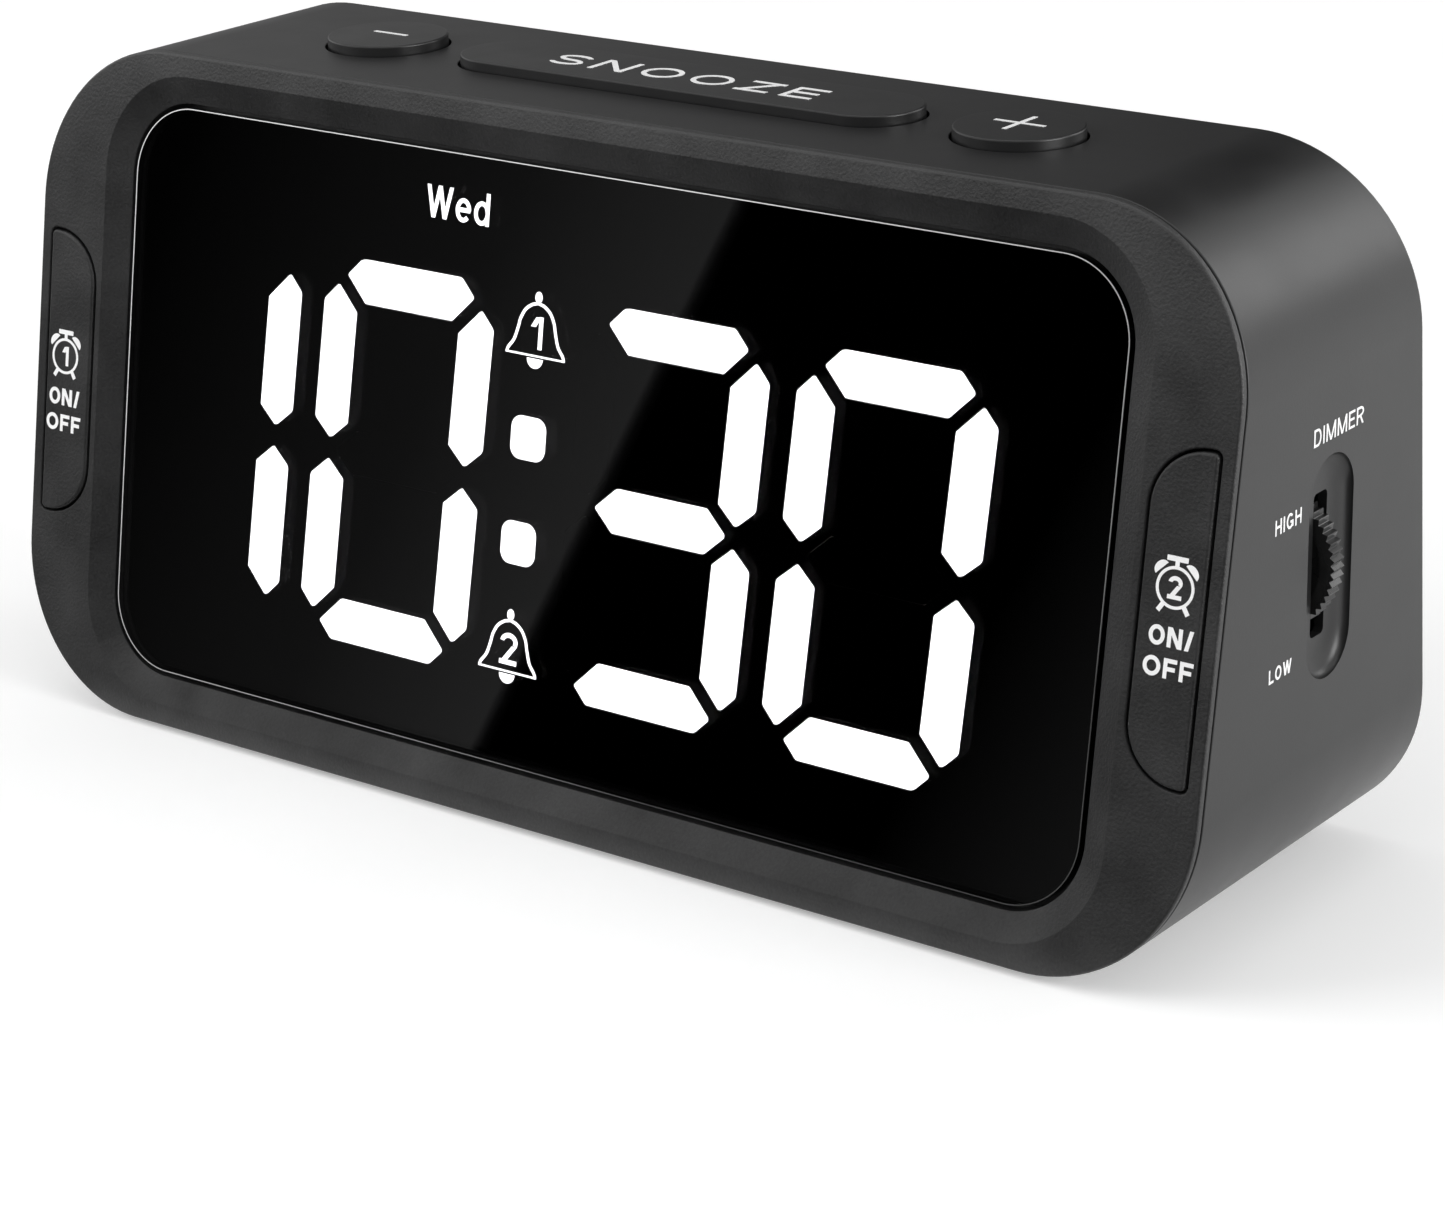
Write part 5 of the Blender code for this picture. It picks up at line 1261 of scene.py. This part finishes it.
@dataclass
class Display:
    """The smoked window, the mask and the lit digits behind it."""

    shop: Workshop
    layout: Layout
    window: tuple[float, float, float] = (116.3, 57.56, 7.35)
    window_depth: Point = (1.2, 2.7)
    window_edge: float = 0.16
    line_insets: Point = (0.02, 0.12)
    line_depth: float = 0.02
    mask_size: tuple[float, float, float] = (115.5, 56.76, 6.95)
    mask_depth: Point = (3.0, 3.4)
    guide_depth: Point = (3.7, 4.7)
    middle: Point = (-6.7, 31.88)
    offsets: tuple[float, ...] = (-40.65, -16.15, 16.2, 40.7)
    built: tuple[str, ...] = ("bc", "abcdefg", "abcdefg", "abcdefg")
    lit: tuple[str, ...] = ("bc", "abcdef", "abcdg", "abcdef")
    size: Point = (21.4, 38.0)
    stroke: float = 4.2
    space: float = 1.5
    tip: float = 1.65
    apart: float = 2.1
    taper: Point = (1.8, 2.3)
    middle_inset: float = 3.1
    soft: float = 0.6
    lean: float = math.tan(math.radians(1.9))
    gap: float = 0.12

    def bars(self) -> dict[str, Outline]:
        """The seven bars of an upright digit about its middle, with soft corners."""
        wide, tall = self.size[0] / 2, self.size[1] / 2
        inner, under, space = wide - self.stroke, tall - self.stroke, self.space / math.sqrt(2)
        slope, root, start = self.stroke - self.tip, wide - self.stroke - space, self.apart / 2
        top, point = under - space, inner - space + slope
        soft, sharp, half = self.soft, 0.25, self.stroke / 2
        level = [
            (-root, under, sharp), (root, under, sharp), (point, under + slope, sharp),
            (point - self.tip, tall, soft), (self.tip - point, tall, soft), (-point, under + slope, sharp),
        ]
        upright = [
            (inner + half, start, sharp), (wide, start + self.taper[0], soft),
            (wide, top + slope - self.tip, soft), (inner + slope, top + slope, sharp),
            (inner, top, sharp), (inner, start + self.taper[0], sharp),
        ]
        end = wide - self.middle_inset
        corner = end - self.taper[1]
        middle = [
            (-end, 0.0, sharp), (-corner, -half, sharp), (corner, -half, sharp),
            (end, 0.0, sharp), (corner, half, sharp), (-corner, half, sharp),
        ]
        a, b, g = soft_corners(level, 5), soft_corners(upright, 5), soft_corners(middle, 5)
        return {
            "a": a, "b": b, "c": mirrored(b, 1, -1), "d": mirrored(a, 1, -1),
            "e": mirrored(b, -1, -1), "f": mirrored(b, -1), "g": g,
        }

    def placed(self, outline: Outline, offset: float, grow: float = 0.0) -> Outline:
        """An upright outline slanted and moved to its digit."""
        x, up = self.middle
        return [(px + py * self.lean + x + offset, py + up) for px, py in grown(outline, grow)]

    def centred(self, size: tuple[float, float, float]) -> Outline:
        """A rounded rectangle in the middle of the face."""
        return rounded(*size, (0.0, self.layout.slope_height / 2))

    def mask(self) -> bpy.types.Object:
        """The black film with a window for each bar."""
        face = self.layout.face
        film = plate("mask_film", face, self.centred(self.mask_size), *self.mask_depth)
        bars = self.bars()
        cutters = []
        for offset, names in zip(self.offsets, self.built):
            for name in names:
                outline = self.placed(bars[name], offset, self.gap)
                cutters.append(plate("cutter", face, outline, self.mask_depth[0] - 1, self.mask_depth[1] + 1))
        return combine(film, cutters)

    def digit(self, number: int) -> None:
        """One digit's light guides: lit bars, unlit bars painted dark as shade, and the plate behind them."""
        offset, built, lit = self.offsets[number - 1], self.built[number - 1], self.lit[number - 1]
        face, bars = self.layout.face, self.bars()
        node = f"digit_{number}_light_guide"
        low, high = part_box(node)
        width = (high.x - low.x) / MM
        base = rounded(width, self.size[1] + 1.4, 1.0, ((high.x + low.x) / 2 / MM, self.middle[1]), 4)
        back = plate(f"digit_{number}_plate", face, base, self.guide_depth[0] + 0.02, self.guide_depth[1])
        self.shop.deliver(back, "diffuser", "case", "diffuser_white", [node])
        # The unlit bars take a near-black finish: painted shade on white guide plastic.
        for kind, names, finish in (("lit", lit, "lit_guide"), ("dark", built, "unlit_guide_painted_shade")):
            chosen = [name for name in names if kind == "lit" or name not in lit]
            if not chosen:
                continue
            shells = []
            for name in chosen:
                outline = self.placed(bars[name], offset)
                shells.append(
                    shell(edge_rings(face, outline, self.mask_depth[0] - 0.02, self.guide_depth[0], 0.08)),
                )
            piece = solid(f"digit_{number}_{kind}_bars", shells)
            self.shop.deliver(piece, finish, "case", "diffuser_white")

    def marks(self) -> None:
        """The colon, the two bells and the day."""
        words = Lettering(self.layout.face, self.mask_depth[0] - 0.04, self.mask_depth[0] + 0.1)
        for up, x in ((36.98, -6.5), (26.78, -6.85)):
            words.fill(rounded(4.2, 4.2, 1.2, (x, up), 8))
        words.bell((-6.35, 44.9), "1")
        words.bell((-7.15, 14.2), "2")
        words.write("Wed", (-16.9, 57.75), 3.1, 0.43, 7.8, 0.14)
        lit = words.finish("display_marks", self.shop.finish["lit_guide"])
        self.shop.deliver(lit, "", "case", "diffuser_white", ["marks_light_guide"])

    def build(self) -> None:
        """Makes the whole display."""
        low, high = self.window_depth
        glass = plate(
            "display_window", self.layout.face, self.centred(self.window), low, high, self.window_edge, 0.1,
        )
        self.shop.deliver(
            glass, "smoked_glass", "case", "lens_smoke", ["display_lens"], smooth=math.radians(20),
        )
        window = self.centred(self.window)
        # A thin ring round the window whose finish is the painted highlight of its edge.
        outer, inner = (grown(window, -inset) for inset in self.line_insets)
        near, far = low - self.line_depth, low + self.line_depth
        line = [
            self.layout.face.ring(*at) for at in ((outer, near), (inner, near), (inner, far), (outer, far))
        ]
        edge = solid("window_edge", [shell(line, hollow=True)])
        self.shop.deliver(edge, "painted_highlight_edge", "case", "lens_smoke")
        self.shop.deliver(self.mask(), "mask_film", "case", "mask_black", ["display_mask"])
        for number in range(1, len(self.offsets) + 1):
            self.digit(number)
        self.marks()


@dataclass
class Dimmer:
    """The knurled thumbwheel in the side."""

    shop: Workshop
    layout: Layout
    teeth: int = 52
    depth: float = 0.42
    hub_radius: float = 1.5

    def build(self) -> None:
        """Grows the wheel from a star that is filled and thickened."""
        low, high = (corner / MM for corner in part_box("dimmer_wheel"))
        radius = (high.z - low.z) / 2
        thick = 1.8
        growth = Growth("thumbwheel")
        outer = growth.size("Outer radius", radius)
        inner = growth.size("Root radius", radius - self.depth)
        width = growth.size("Thickness", thick)
        teeth = growth.size("Teeth", self.teeth, whole=True)
        star = growth.node("CurveStar", {"Points": teeth, "Inner Radius": inner, "Outer Radius": outer})
        spokes = growth.node(
            "FilletCurve", {"Curve": star.outputs["Curve"], "Radius": 0.00005, "Count": 1}, mode="POLY",
        )
        face = growth.node("FillCurve", {"Curve": spokes.outputs["Curve"]}, mode="NGONS")
        rise = growth.node(
            "ExtrudeMesh", {"Mesh": face.outputs["Mesh"], "Individual": False, "Offset Scale": width},
        )
        flip = growth.node("FlipFaces", {"Mesh": face.outputs["Mesh"]})
        both = growth.node("JoinGeometry", {"Geometry": [flip.outputs["Mesh"], rise.outputs["Mesh"]]})
        whole = growth.node("MergeByDistance", {"Geometry": both.outputs["Geometry"], "Distance": 1e-6})
        centre = Vector(((low.x + high.x) / 2, low.y + thick, (low.z + high.z) / 2))
        place = Matrix.Translation(centre) @ Matrix.Rotation(math.radians(90), 4, "X")
        finish = self.shop.finish["knob_plastic"]
        wheel = growth.grow("thumbwheel", whole.outputs["Geometry"], finish, place=place)
        along = Plane(centre, Vector((1, 0, 0)), Vector((0, 0, 1)), Vector((0, 1, 0)))
        pin = plate("pin", along, circle(self.hub_radius, steps=24), -thick / 2, high.y - centre.y)
        dimple = plate("cutter", along, circle(radius * 0.78), -thick - 1.0, -thick + 0.25)
        combine(wheel, [dimple])
        combine(wheel, [pin], Operation.JOIN)
        self.shop.deliver(
            wheel, "knob_plastic", "dimmer_wheel", "key_black", ["dimmer_wheel"], smooth=math.radians(20),
        )


@dataclass
class Back:
    """The rear cover with its grille, setting keys, screws, battery lid and legends."""

    shop: Workshop
    layout: Layout
    inset: float = 0.5
    thick: float = 2.0
    gap: float = 0.35
    edge: float = 0.35
    lip: float = 0.2
    boss: Point = (61.437, 27.33)
    head_radius: float = 2.4
    key_up: float = 51.0
    key_places: tuple[tuple[str, float], ...] = (
        ("time_set", 33.0), ("alarm_1_set", 11.0), ("alarm_2_set", -11.0),
    )
    key_radius: float = 3.2
    door: tuple[float, float, float, float] = (-22.0, 24.0, 53.2, 26.2)
    door_gap: float = 0.4
    grille: tuple[float, float, float] = (38.0, 31.0, 8.4)
    jack: tuple[float, float, float] = (28.0, 14.5, 3.7)

    def cover_outline(self) -> Outline:
        """The cover's outline on the back."""
        layout = self.layout
        margin = layout.wall + self.gap
        middle = layout.back_height / 2 + (self.inset + self.thick / 2) * math.tan(layout.back_lean)
        return rounded(
            layout.width - 2 * margin, layout.back_height - 2 * margin, layout.corner - margin,
            (0.0, middle),
        )

    def grille_cutter(self) -> bpy.types.Object:
        """The loudspeaker's slots: bars on a line, kept inside a circle."""
        x, up, radius = self.grille
        growth = Growth("grille_slots")
        pitch = growth.size("Pitch", 2.6)
        slot = growth.size("Slot width", 1.3)
        reach = growth.size("Grille radius", radius)
        count = growth.size("Slots", 6, whole=True)
        row = growth.node("MeshLine", {"Count": count, "Offset": growth.vector(pitch)})
        bar = growth.node("MeshCube", {"Size": growth.vector(slot, growth.times(reach, 2.2), 0.008)})
        bars = growth.node(
            "InstanceOnPoints", {"Points": row.outputs["Mesh"], "Instance": bar.outputs["Mesh"]},
        )
        real = growth.node("RealizeInstances", {"Geometry": bars.outputs["Instances"]})
        shift = growth.vector(growth.times(pitch, -2.5))
        centred = growth.node("Transform", {"Geometry": real.outputs["Geometry"], "Translation": shift})
        drum = growth.node("MeshCylinder", {"Vertices": 96, "Radius": reach, "Depth": 0.006})
        kept = growth.node(
            "MeshBoolean", {"Mesh 2": [centred.outputs["Geometry"], drum.outputs["Mesh"]]},
            operation="INTERSECT", solver="EXACT",
        )
        place = self.layout.back.matrix() @ Matrix.Translation((-x, up, 0.0))
        return growth.grow("cutter", kept.outputs["Mesh"], place=place)

    def screws(self) -> None:
        """Four pan-head screws with cross slots."""
        growth = Growth("case_screws")
        wide = growth.size("Spread across", 2 * self.boss[0])
        tall = growth.size("Spread up", 2 * self.boss[1])
        radius = growth.size("Head radius", self.head_radius)
        thick = growth.size("Head thickness", 0.6)
        places = growth.node("MeshGrid", {"Size X": wide, "Size Y": tall, "Vertices X": 2, "Vertices Y": 2})
        head = growth.node(
            "MeshCone", {
                "Vertices": 48, "Radius Top": growth.times(radius, 0.86), "Radius Bottom": radius,
                "Depth": thick,
            }
        )
        arm = {"X": growth.times(radius, 1.15), "Y": growth.times(radius, 0.24), "Z": 0.0008}
        first = growth.node("MeshCube", {"Size": growth.vector(arm["X"], arm["Y"], arm["Z"])})
        second = growth.node("MeshCube", {"Size": growth.vector(arm["Y"], arm["X"], arm["Z"])})
        cross = growth.node("JoinGeometry", {"Geometry": [first.outputs["Mesh"], second.outputs["Mesh"]]})
        lifted = growth.node(
            "Transform",
            {"Geometry": cross.outputs["Geometry"], "Translation": growth.vector(0, 0, 0.0006)},
        )
        slotted = growth.node(
            "MeshBoolean", {"Mesh 1": head.outputs["Mesh"], "Mesh 2": lifted.outputs["Geometry"]},
            operation="DIFFERENCE", solver="EXACT",
        )
        slotted.inputs["Self Intersection"].default_value = True
        every = growth.node(
            "InstanceOnPoints", {"Points": places.outputs["Mesh"], "Instance": slotted.outputs["Mesh"]},
        )
        shift = Matrix.Translation((0.0, self.layout.back_height / 2, -self.inset - 0.7))
        place = self.layout.back.matrix() @ shift
        screws = growth.grow(
            "case_screws", every.outputs["Instances"], self.shop.finish["steel"], place=place,
        )
        nodes = [f"case_screw_{number}" for number in range(1, 5)]
        self.shop.deliver(screws, "", "case", "screw_steel", nodes)

    def cover(self) -> None:
        """The cover, with every hole through it."""
        back = self.layout.back
        cover = plate(
            "rear_cover", back, self.cover_outline(), self.inset, self.inset + self.thick, self.edge,
        )
        lowered = Plane(back.at(0, 0, self.inset), back.across, back.up, back.inward)
        door = rounded(
            self.door[2] + 2 * self.door_gap, self.door[3] + 2 * self.door_gap, 0.8,
            (-self.door[0], self.door[1]), 6,
        )
        cutters = [flare(lowered, door, 4.0, self.lip), self.grille_cutter()]
        cutters.append(flare(lowered, circle(self.jack[2] + 0.3, (-self.jack[0], self.jack[1])), 4.0, 0.35))
        for _, x in self.key_places:
            cutters.append(flare(lowered, circle(self.key_radius + 0.25, (-x, self.key_up)), 4.0, self.lip))
        for x in (-self.boss[0], self.boss[0]):
            for side in (-1, 1):
                place = (x, self.layout.back_height / 2 + side * self.boss[1])
                cutters.append(flare(lowered, circle(self.head_radius + 0.3, place, 48), 1.0, 0.15))
        combine(cover, cutters)
        self.shop.deliver(cover, "case_plastic", "case", "case_black", ["back_cover"])

    def lid(self) -> None:
        """The battery lid, with a shallow recess and grip ribs."""
        x, up, wide, tall = self.door
        back = self.layout.back
        lid = plate(
            "battery_lid", back, rounded(wide, tall, 0.7, (-x, up), 6), self.inset, self.inset + 1.6, 0.25,
        )
        hollow = plate(
            "cutter", back, rounded(13.0, 6.0, 1.2, (-x, up + tall / 2 - 5.2), 6), -1.0, self.inset + 0.5,
        )
        combine(lid, [hollow])
        growth = Growth("grip_ribs")
        count = growth.size("Ribs", 5, whole=True)
        pitch = growth.size("Pitch", 1.05)
        long = growth.size("Length", 10.5)
        row = growth.node("MeshLine", {"Count": count, "Offset": growth.vector(0, pitch)})
        rib = growth.node("MeshCylinder", {"Vertices": 16, "Radius": 0.00028, "Depth": long})
        laid = growth.node("Transform", {"Geometry": rib.outputs["Mesh"], "Rotation": (0, math.pi / 2, 0)})
        ribs = growth.node(
            "InstanceOnPoints", {"Points": row.outputs["Mesh"], "Instance": laid.outputs["Geometry"]},
        )
        shift = Matrix.Translation((-x, up + tall / 2 - 7.3, -self.inset - 0.45))
        grown_ribs = growth.grow("ribs", ribs.outputs["Instances"], place=back.matrix() @ shift)
        combine(lid, [grown_ribs], Operation.JOIN)
        self.shop.deliver(lid, "case_plastic", "battery_door", "case_black", ["battery_door"])

    def keys(self) -> None:
        """The setting keys, the words round them and the marks at the jack."""
        back = self.layout.back
        words = Lettering(back, self.inset - PRINT_PROUD, self.inset + PRINT_SUNK)
        names = {"time_set": "TIME SET", "alarm_1_set": "ALARM 1", "alarm_2_set": "ALARM 2"}
        for name, x in self.key_places:
            key = plate(f"{name}_cap", back, circle(self.key_radius, (-x, self.key_up)), -0.4, 4.0, 0.45)
            self.shop.deliver(key, "key_plastic", f"{name}_key", "key_black", [f"{name}_key"])
            words.write(names[name], (-x, self.key_up + 6.0), 1.6, 0.26, 9.6)
        words.write("DC 5V", (-self.jack[0], self.jack[1] + 6.4), 1.5, 0.25, 6.4)
        self.shop.printed(words, "rear_words", "case", "case_black")

    def springs(self) -> None:
        """The battery contacts: coils that narrow towards the cell."""
        for number in (1, 2):
            node = f"battery_spring_{number}"
            low, high = (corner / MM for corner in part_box(node))
            growth = Growth(node)
            length = growth.size("Length", high.x - low.x - 0.7)
            wide = growth.size("Coil radius", 2.4)
            wire = growth.size("Wire radius", 0.3)
            spiral = growth.node(
                "CurveSpiral",
                {
                    "Resolution": 28, "Rotations": 4.0, "Start Radius": wide,
                    "End Radius": growth.times(wide, 0.6), "Height": length,
                },
            )
            circle_curve = growth.node("CurvePrimitiveCircle", {"Resolution": 8, "Radius": wire})
            coil = growth.node(
                "CurveToMesh",
                {
                    "Curve": spiral.outputs["Curve"], "Profile Curve": circle_curve.outputs["Curve"],
                    "Fill Caps": True,
                },
            )
            side = 1 if number == 2 else -1
            start = Vector(
                (low.x + 0.35 if side > 0 else high.x - 0.35, (low.y + high.y) / 2, (low.z + high.z) / 2),
            )
            place = Matrix.Translation(start) @ Matrix.Rotation(math.radians(90 * side), 4, "Y")
            piece = growth.grow(
                f"contact_coil_{number}", coil.outputs["Mesh"], self.shop.finish["spring_wire"],
                place=place,
            )
            self.shop.deliver(piece, "", "case", "spring_steel", [node])

    def build(self) -> None:
        """Makes the whole back."""
        self.cover()
        self.lid()
        self.keys()
        self.screws()
        self.springs()


@dataclass
class Inside:
    """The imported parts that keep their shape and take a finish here."""

    shop: Workshop
    finishes: dict[str, tuple[str, ...]] = field(default_factory=lambda: {
        "board": ("display_board", "main_board", "top_key_board", "dimmer_board"),
        "switch_body": (
            "minus_switch", "snooze_switch", "plus_switch", "alarm_1_switch", "alarm_2_switch",
            "time_set_switch", "alarm_1_set_switch", "alarm_2_set_switch", "dimmer_potentiometer",
            "controller_chip", "buzzer", "power_jack",
        ),
        "diffuser": ("reflector_frame",),
        "case_plastic": ("battery_tray",),
        "flat_cable": ("ribbon_cable",),
        "cell_jacket": ("battery_cell_1", "battery_cell_2"),
        "steel": (
            "display_screw_1", "display_screw_2", "display_screw_3", "display_screw_4",
            "main_board_screw_1", "main_board_screw_2", "top_board_screw_1", "top_board_screw_2",
        ),
    })

    def build(self) -> None:
        """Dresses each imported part."""
        for finish, nodes in self.finishes.items():
            self.shop.dress(nodes, finish)


# ---------------------------------------------------------------- studio


@dataclass(frozen=True)
class Softbox:
    """An area lamp that looks at the clock.

    Attributes:
        name: Name of the lamp.
        azimuth: Degrees round the clock, 0 in front and 90 on the right.
        elevation: Degrees above the floor.
        distance: Metres from the clock.
        size: Width and height in metres.
        power: Watts.
    """

    name: str
    azimuth: float
    elevation: float
    distance: float
    size: Point
    power: float

    def build(self, target: Vector) -> None:
        """Makes the lamp."""
        lamp = bpy.data.lights.new(self.name, "AREA")
        lamp.shape = "RECTANGLE"
        lamp.size, lamp.size_y = self.size
        lamp.energy = self.power
        made = bpy.data.objects.new(self.name, lamp)
        back = direction(self.azimuth, self.elevation)
        made.location = target + back * self.distance
        made.rotation_euler = back.to_track_quat("Z", "Y").to_euler()
        bpy.context.scene.collection.objects.link(made)


@dataclass(frozen=True)
class Card:
    """A card that only gloss and glass see, with a brightness that changes along one direction.

    Attributes:
        name: Name of the card.
        corners: Its corners in millimetres.
        along: Direction in which its brightness changes.
        reach: Lowest and highest place along that direction, in millimetres.
        stops: Brightness at shares of that reach.
    """

    name: str
    corners: tuple[Vector, ...]
    along: Vector
    reach: Point
    stops: tuple[Point, ...]

    def build(self) -> None:
        """Makes the card."""
        normal = (self.corners[1] - self.corners[0]).cross(self.corners[2] - self.corners[0]).normalized()
        rings = [list(self.corners), [corner + normal for corner in self.corners]]
        made = solid(self.name, [shell(rings)])
        shader = Shader(self.name)
        share = shader.spread(shader.along(self.along), 0.0, 1.0, (self.reach[0] * MM, self.reach[1] * MM))
        tone = shader.ramp(share, [(place, grey(level)) for place, level in self.stops])
        glow = shader.add("ShaderNodeEmission")
        shader.link(tone, glow.inputs["Color"])
        shader.surface(glow.outputs[0])
        made.data.materials.append(shader.material)
        for ray in ("camera", "diffuse", "shadow", "volume_scatter"):
            setattr(made, f"visible_{ray}", False)


def direction(azimuth: float, elevation: float) -> Vector:
    """The unit vector from the clock towards degrees round it and above the floor."""
    a, e = math.radians(azimuth), math.radians(elevation)
    return Vector((math.sin(a) * math.cos(e), -math.cos(a) * math.cos(e), math.sin(e)))


@dataclass
class Studio:
    """A white floor and surround, soft lamps, dark cards and the camera."""

    azimuth: float = 37.32
    elevation: float = 20.29
    roll: float = math.radians(-1.41)
    distance: float = 0.3827
    lens: float = 98.24
    target: Vector = field(default_factory=lambda: Vector((0.00533, 0.0, 0.0178)))
    card_ahead: float = 23.8
    card_gap: float = 14.0
    floor_size: Point = (6000.0, 5.0)
    # Painted shade: the floor's glow and the distances over which it rises, greyer near the clock, whiter far
    # off.
    floor_glow: Point = (0.30, 0.64)
    floor_fade: Point = (0.25, 1.3)
    surround: Point = (0.45, 1.0)
    sheen_tilt: Point = (0.9075, -0.42)
    sheen: tuple[Point, ...] = (
        (0.0, 0.0), (0.12, 0.01), (0.40, 0.10), (0.556, 0.26), (0.560, 0.0), (0.86, 0.0), (1.0, 0.12),
    )
    dusk: tuple[Point, ...] = ((0.0, 0.06), (1.0, 0.02))
    fade: tuple[Point, ...] = ((0.0, 0.42), (0.45, 0.26), (0.85, 0.12), (1.0, 0.03))
    dim: tuple[Point, ...] = ((0.0, 0.95), (0.35, 0.6), (1.0, 0.5))
    lamps: tuple[Softbox, ...] = (
        Softbox("left_softbox", -50.0, 24.0, 0.9, (0.6, 0.6), 5.0),
        Softbox("right_softbox", 92.0, 14.0, 0.9, (0.5, 0.5), 5.0),
        Softbox("rim_softbox", 149.0, 25.0, 0.9, (0.3, 0.4), 0.8),
        Softbox("top_softbox", 10.0, 80.0, 0.9, (0.8, 0.6), 1.2),
    )

    def camera(self) -> None:
        """Puts the camera where it frames the clock."""
        back = direction(self.azimuth, self.elevation)
        across = Vector((0, 0, 1)).cross(back).normalized()
        up = back.cross(across)
        c, s = math.cos(self.roll), math.sin(self.roll)
        right, top = across * c + up * s, up * c - across * s
        data = bpy.data.cameras.new("camera")
        data.lens = self.lens
        data.sensor_width = 36.0
        data.clip_start = 0.01
        made = bpy.data.objects.new("camera", data)
        place = self.target + back * self.distance
        made.matrix_world = from_columns((right, top, back, place))
        bpy.context.scene.collection.objects.link(made)
        bpy.context.scene.camera = made

    @staticmethod
    def seen(tree: bpy.types.NodeTree) -> bpy.types.NodeSocket:
        """1 for camera, glossy and transmission rays."""
        path = tree.nodes.new("ShaderNodeLightPath")
        shown = path.outputs["Is Camera Ray"]
        for ray in ("Is Glossy Ray", "Is Transmission Ray"):
            either = tree.nodes.new("ShaderNodeMath")
            either.operation = "MAXIMUM"
            tree.links.new(shown, either.inputs[0])
            tree.links.new(path.outputs[ray], either.inputs[1])
            shown = either.outputs[0]
        return shown

    def floor(self) -> None:
        """A wide pale floor that shows white, keeps the clock's shadow and has painted shade round the clock.
        """
        half, thick = self.floor_size
        square = ((-half, -half), (half, -half), (half, half), (-half, half))
        made = solid("floor", [shell([[Vector((x, y, z)) for x, y in square] for z in (0.0, -thick)])])
        shader = Shader("floor_paper")
        shader.link(
            shader.blend(shader.noise(40.0), grey(0.80), grey(0.82)), shader.main.inputs["Base Color"],
        )
        shader.fix(Roughness=0.9, Specular_IOR_Level=0.1)
        away = shader.add("ShaderNodeVectorMath", operation="LENGTH")
        shader.link(shader.place, away.inputs[0])
        # Painted shade: the glow is lowest near the clock and rises further out.
        level = shader.spread(away.outputs["Value"], *self.floor_glow, self.floor_fade)
        glow = shader.add("ShaderNodeEmission")
        shader.link(shader.reckon("MULTIPLY", self.seen(shader.tree), level), glow.inputs["Strength"])
        both = shader.add("ShaderNodeAddShader")
        shader.link(shader.main.outputs[0], both.inputs[0])
        shader.link(glow.outputs[0], both.inputs[1])
        shader.surface(both.outputs[0])
        made.data.materials.append(shader.material)

    def cards(self, layout: Layout) -> None:
        """Puts two cards before the face, one on the floor and one behind the clock."""
        face, ahead = layout.face, self.card_ahead
        lean = Vector((self.sheen_tilt[0], 0.0, 0.0)) + face.up * self.sheen_tilt[1]
        base = lean.dot(face.at(0, 0, -ahead))
        level = Vector((1, 0, 0))
        places = ((-600.0, -4.0), (600.0, -4.0), (600.0, 64.0), (-600.0, 64.0))
        corners = tuple(face.at(u, v, -ahead) for u, v in places)
        Card("window_card", corners, lean, (base - 110.0, base + 40.0), self.sheen).build()
        places = ((-190.0, -5.0), (110.0, -5.0), (110.0, 150.0), (-190.0, 150.0))
        corners = tuple(face.at(u, v, -ahead - self.card_gap) for u, v in places)
        Card("face_card", corners, level, (-130.0, 90.0), self.dim).build()
        corners = tuple(Vector(at) for at in ((-260, -330, 1), (150, -330, 1), (150, -26, 1), (-260, -26, 1)))
        Card("floor_card", corners, level, (-260.0, 150.0), self.dusk).build()
        corners = tuple(Vector(at) for at in ((-520, 150, 4), (60, 150, 4), (60, 150, 420), (-520, 150, 420)))
        Card("rear_card", corners, level, (-300.0, 0.0), self.fade).build()

    def world(self) -> None:
        """A white surround that lights the clock at a plain level."""
        world = bpy.data.worlds.new("studio")
        bpy.context.scene.world = world
        world.use_nodes = True
        tree = world.node_tree
        back = tree.nodes["Background"]
        level = tree.nodes.new("ShaderNodeMapRange")
        level.inputs["To Min"].default_value, level.inputs["To Max"].default_value = self.surround
        tree.links.new(self.seen(tree), level.inputs["Value"])
        tree.links.new(level.outputs["Result"], back.inputs["Strength"])
        back.inputs["Color"].default_value = (1.0, 1.0, 1.0, 1.0)

    def build(self, layout: Layout) -> None:
        """Sets up the studio."""
        self.camera()
        self.cards(layout)
        self.floor()
        self.world()
        for lamp in self.lamps:
            lamp.build(Vector((0.0, 0.0, 0.03)))
        bpy.context.scene.view_settings.view_transform = "Standard"


def main() -> None:
    """Builds the clock's looks and the studio round it."""
    logging.basicConfig(level=logging.INFO, format="%(message)s")
    layout = Layout()
    shop = Workshop()
    studio = Studio()
    studio.build(layout)
    case = Case(shop, layout)
    case.build()
    case.legends()
    bezel = Bezel(shop, layout)
    bezel.build()
    bezel.keys()
    TopKeys(shop, layout).build()
    Display(shop, layout).build()
    Dimmer(shop, layout).build()
    Back(shop, layout).build()
    Inside(shop).build()


if __name__ == "__main__":
    main()
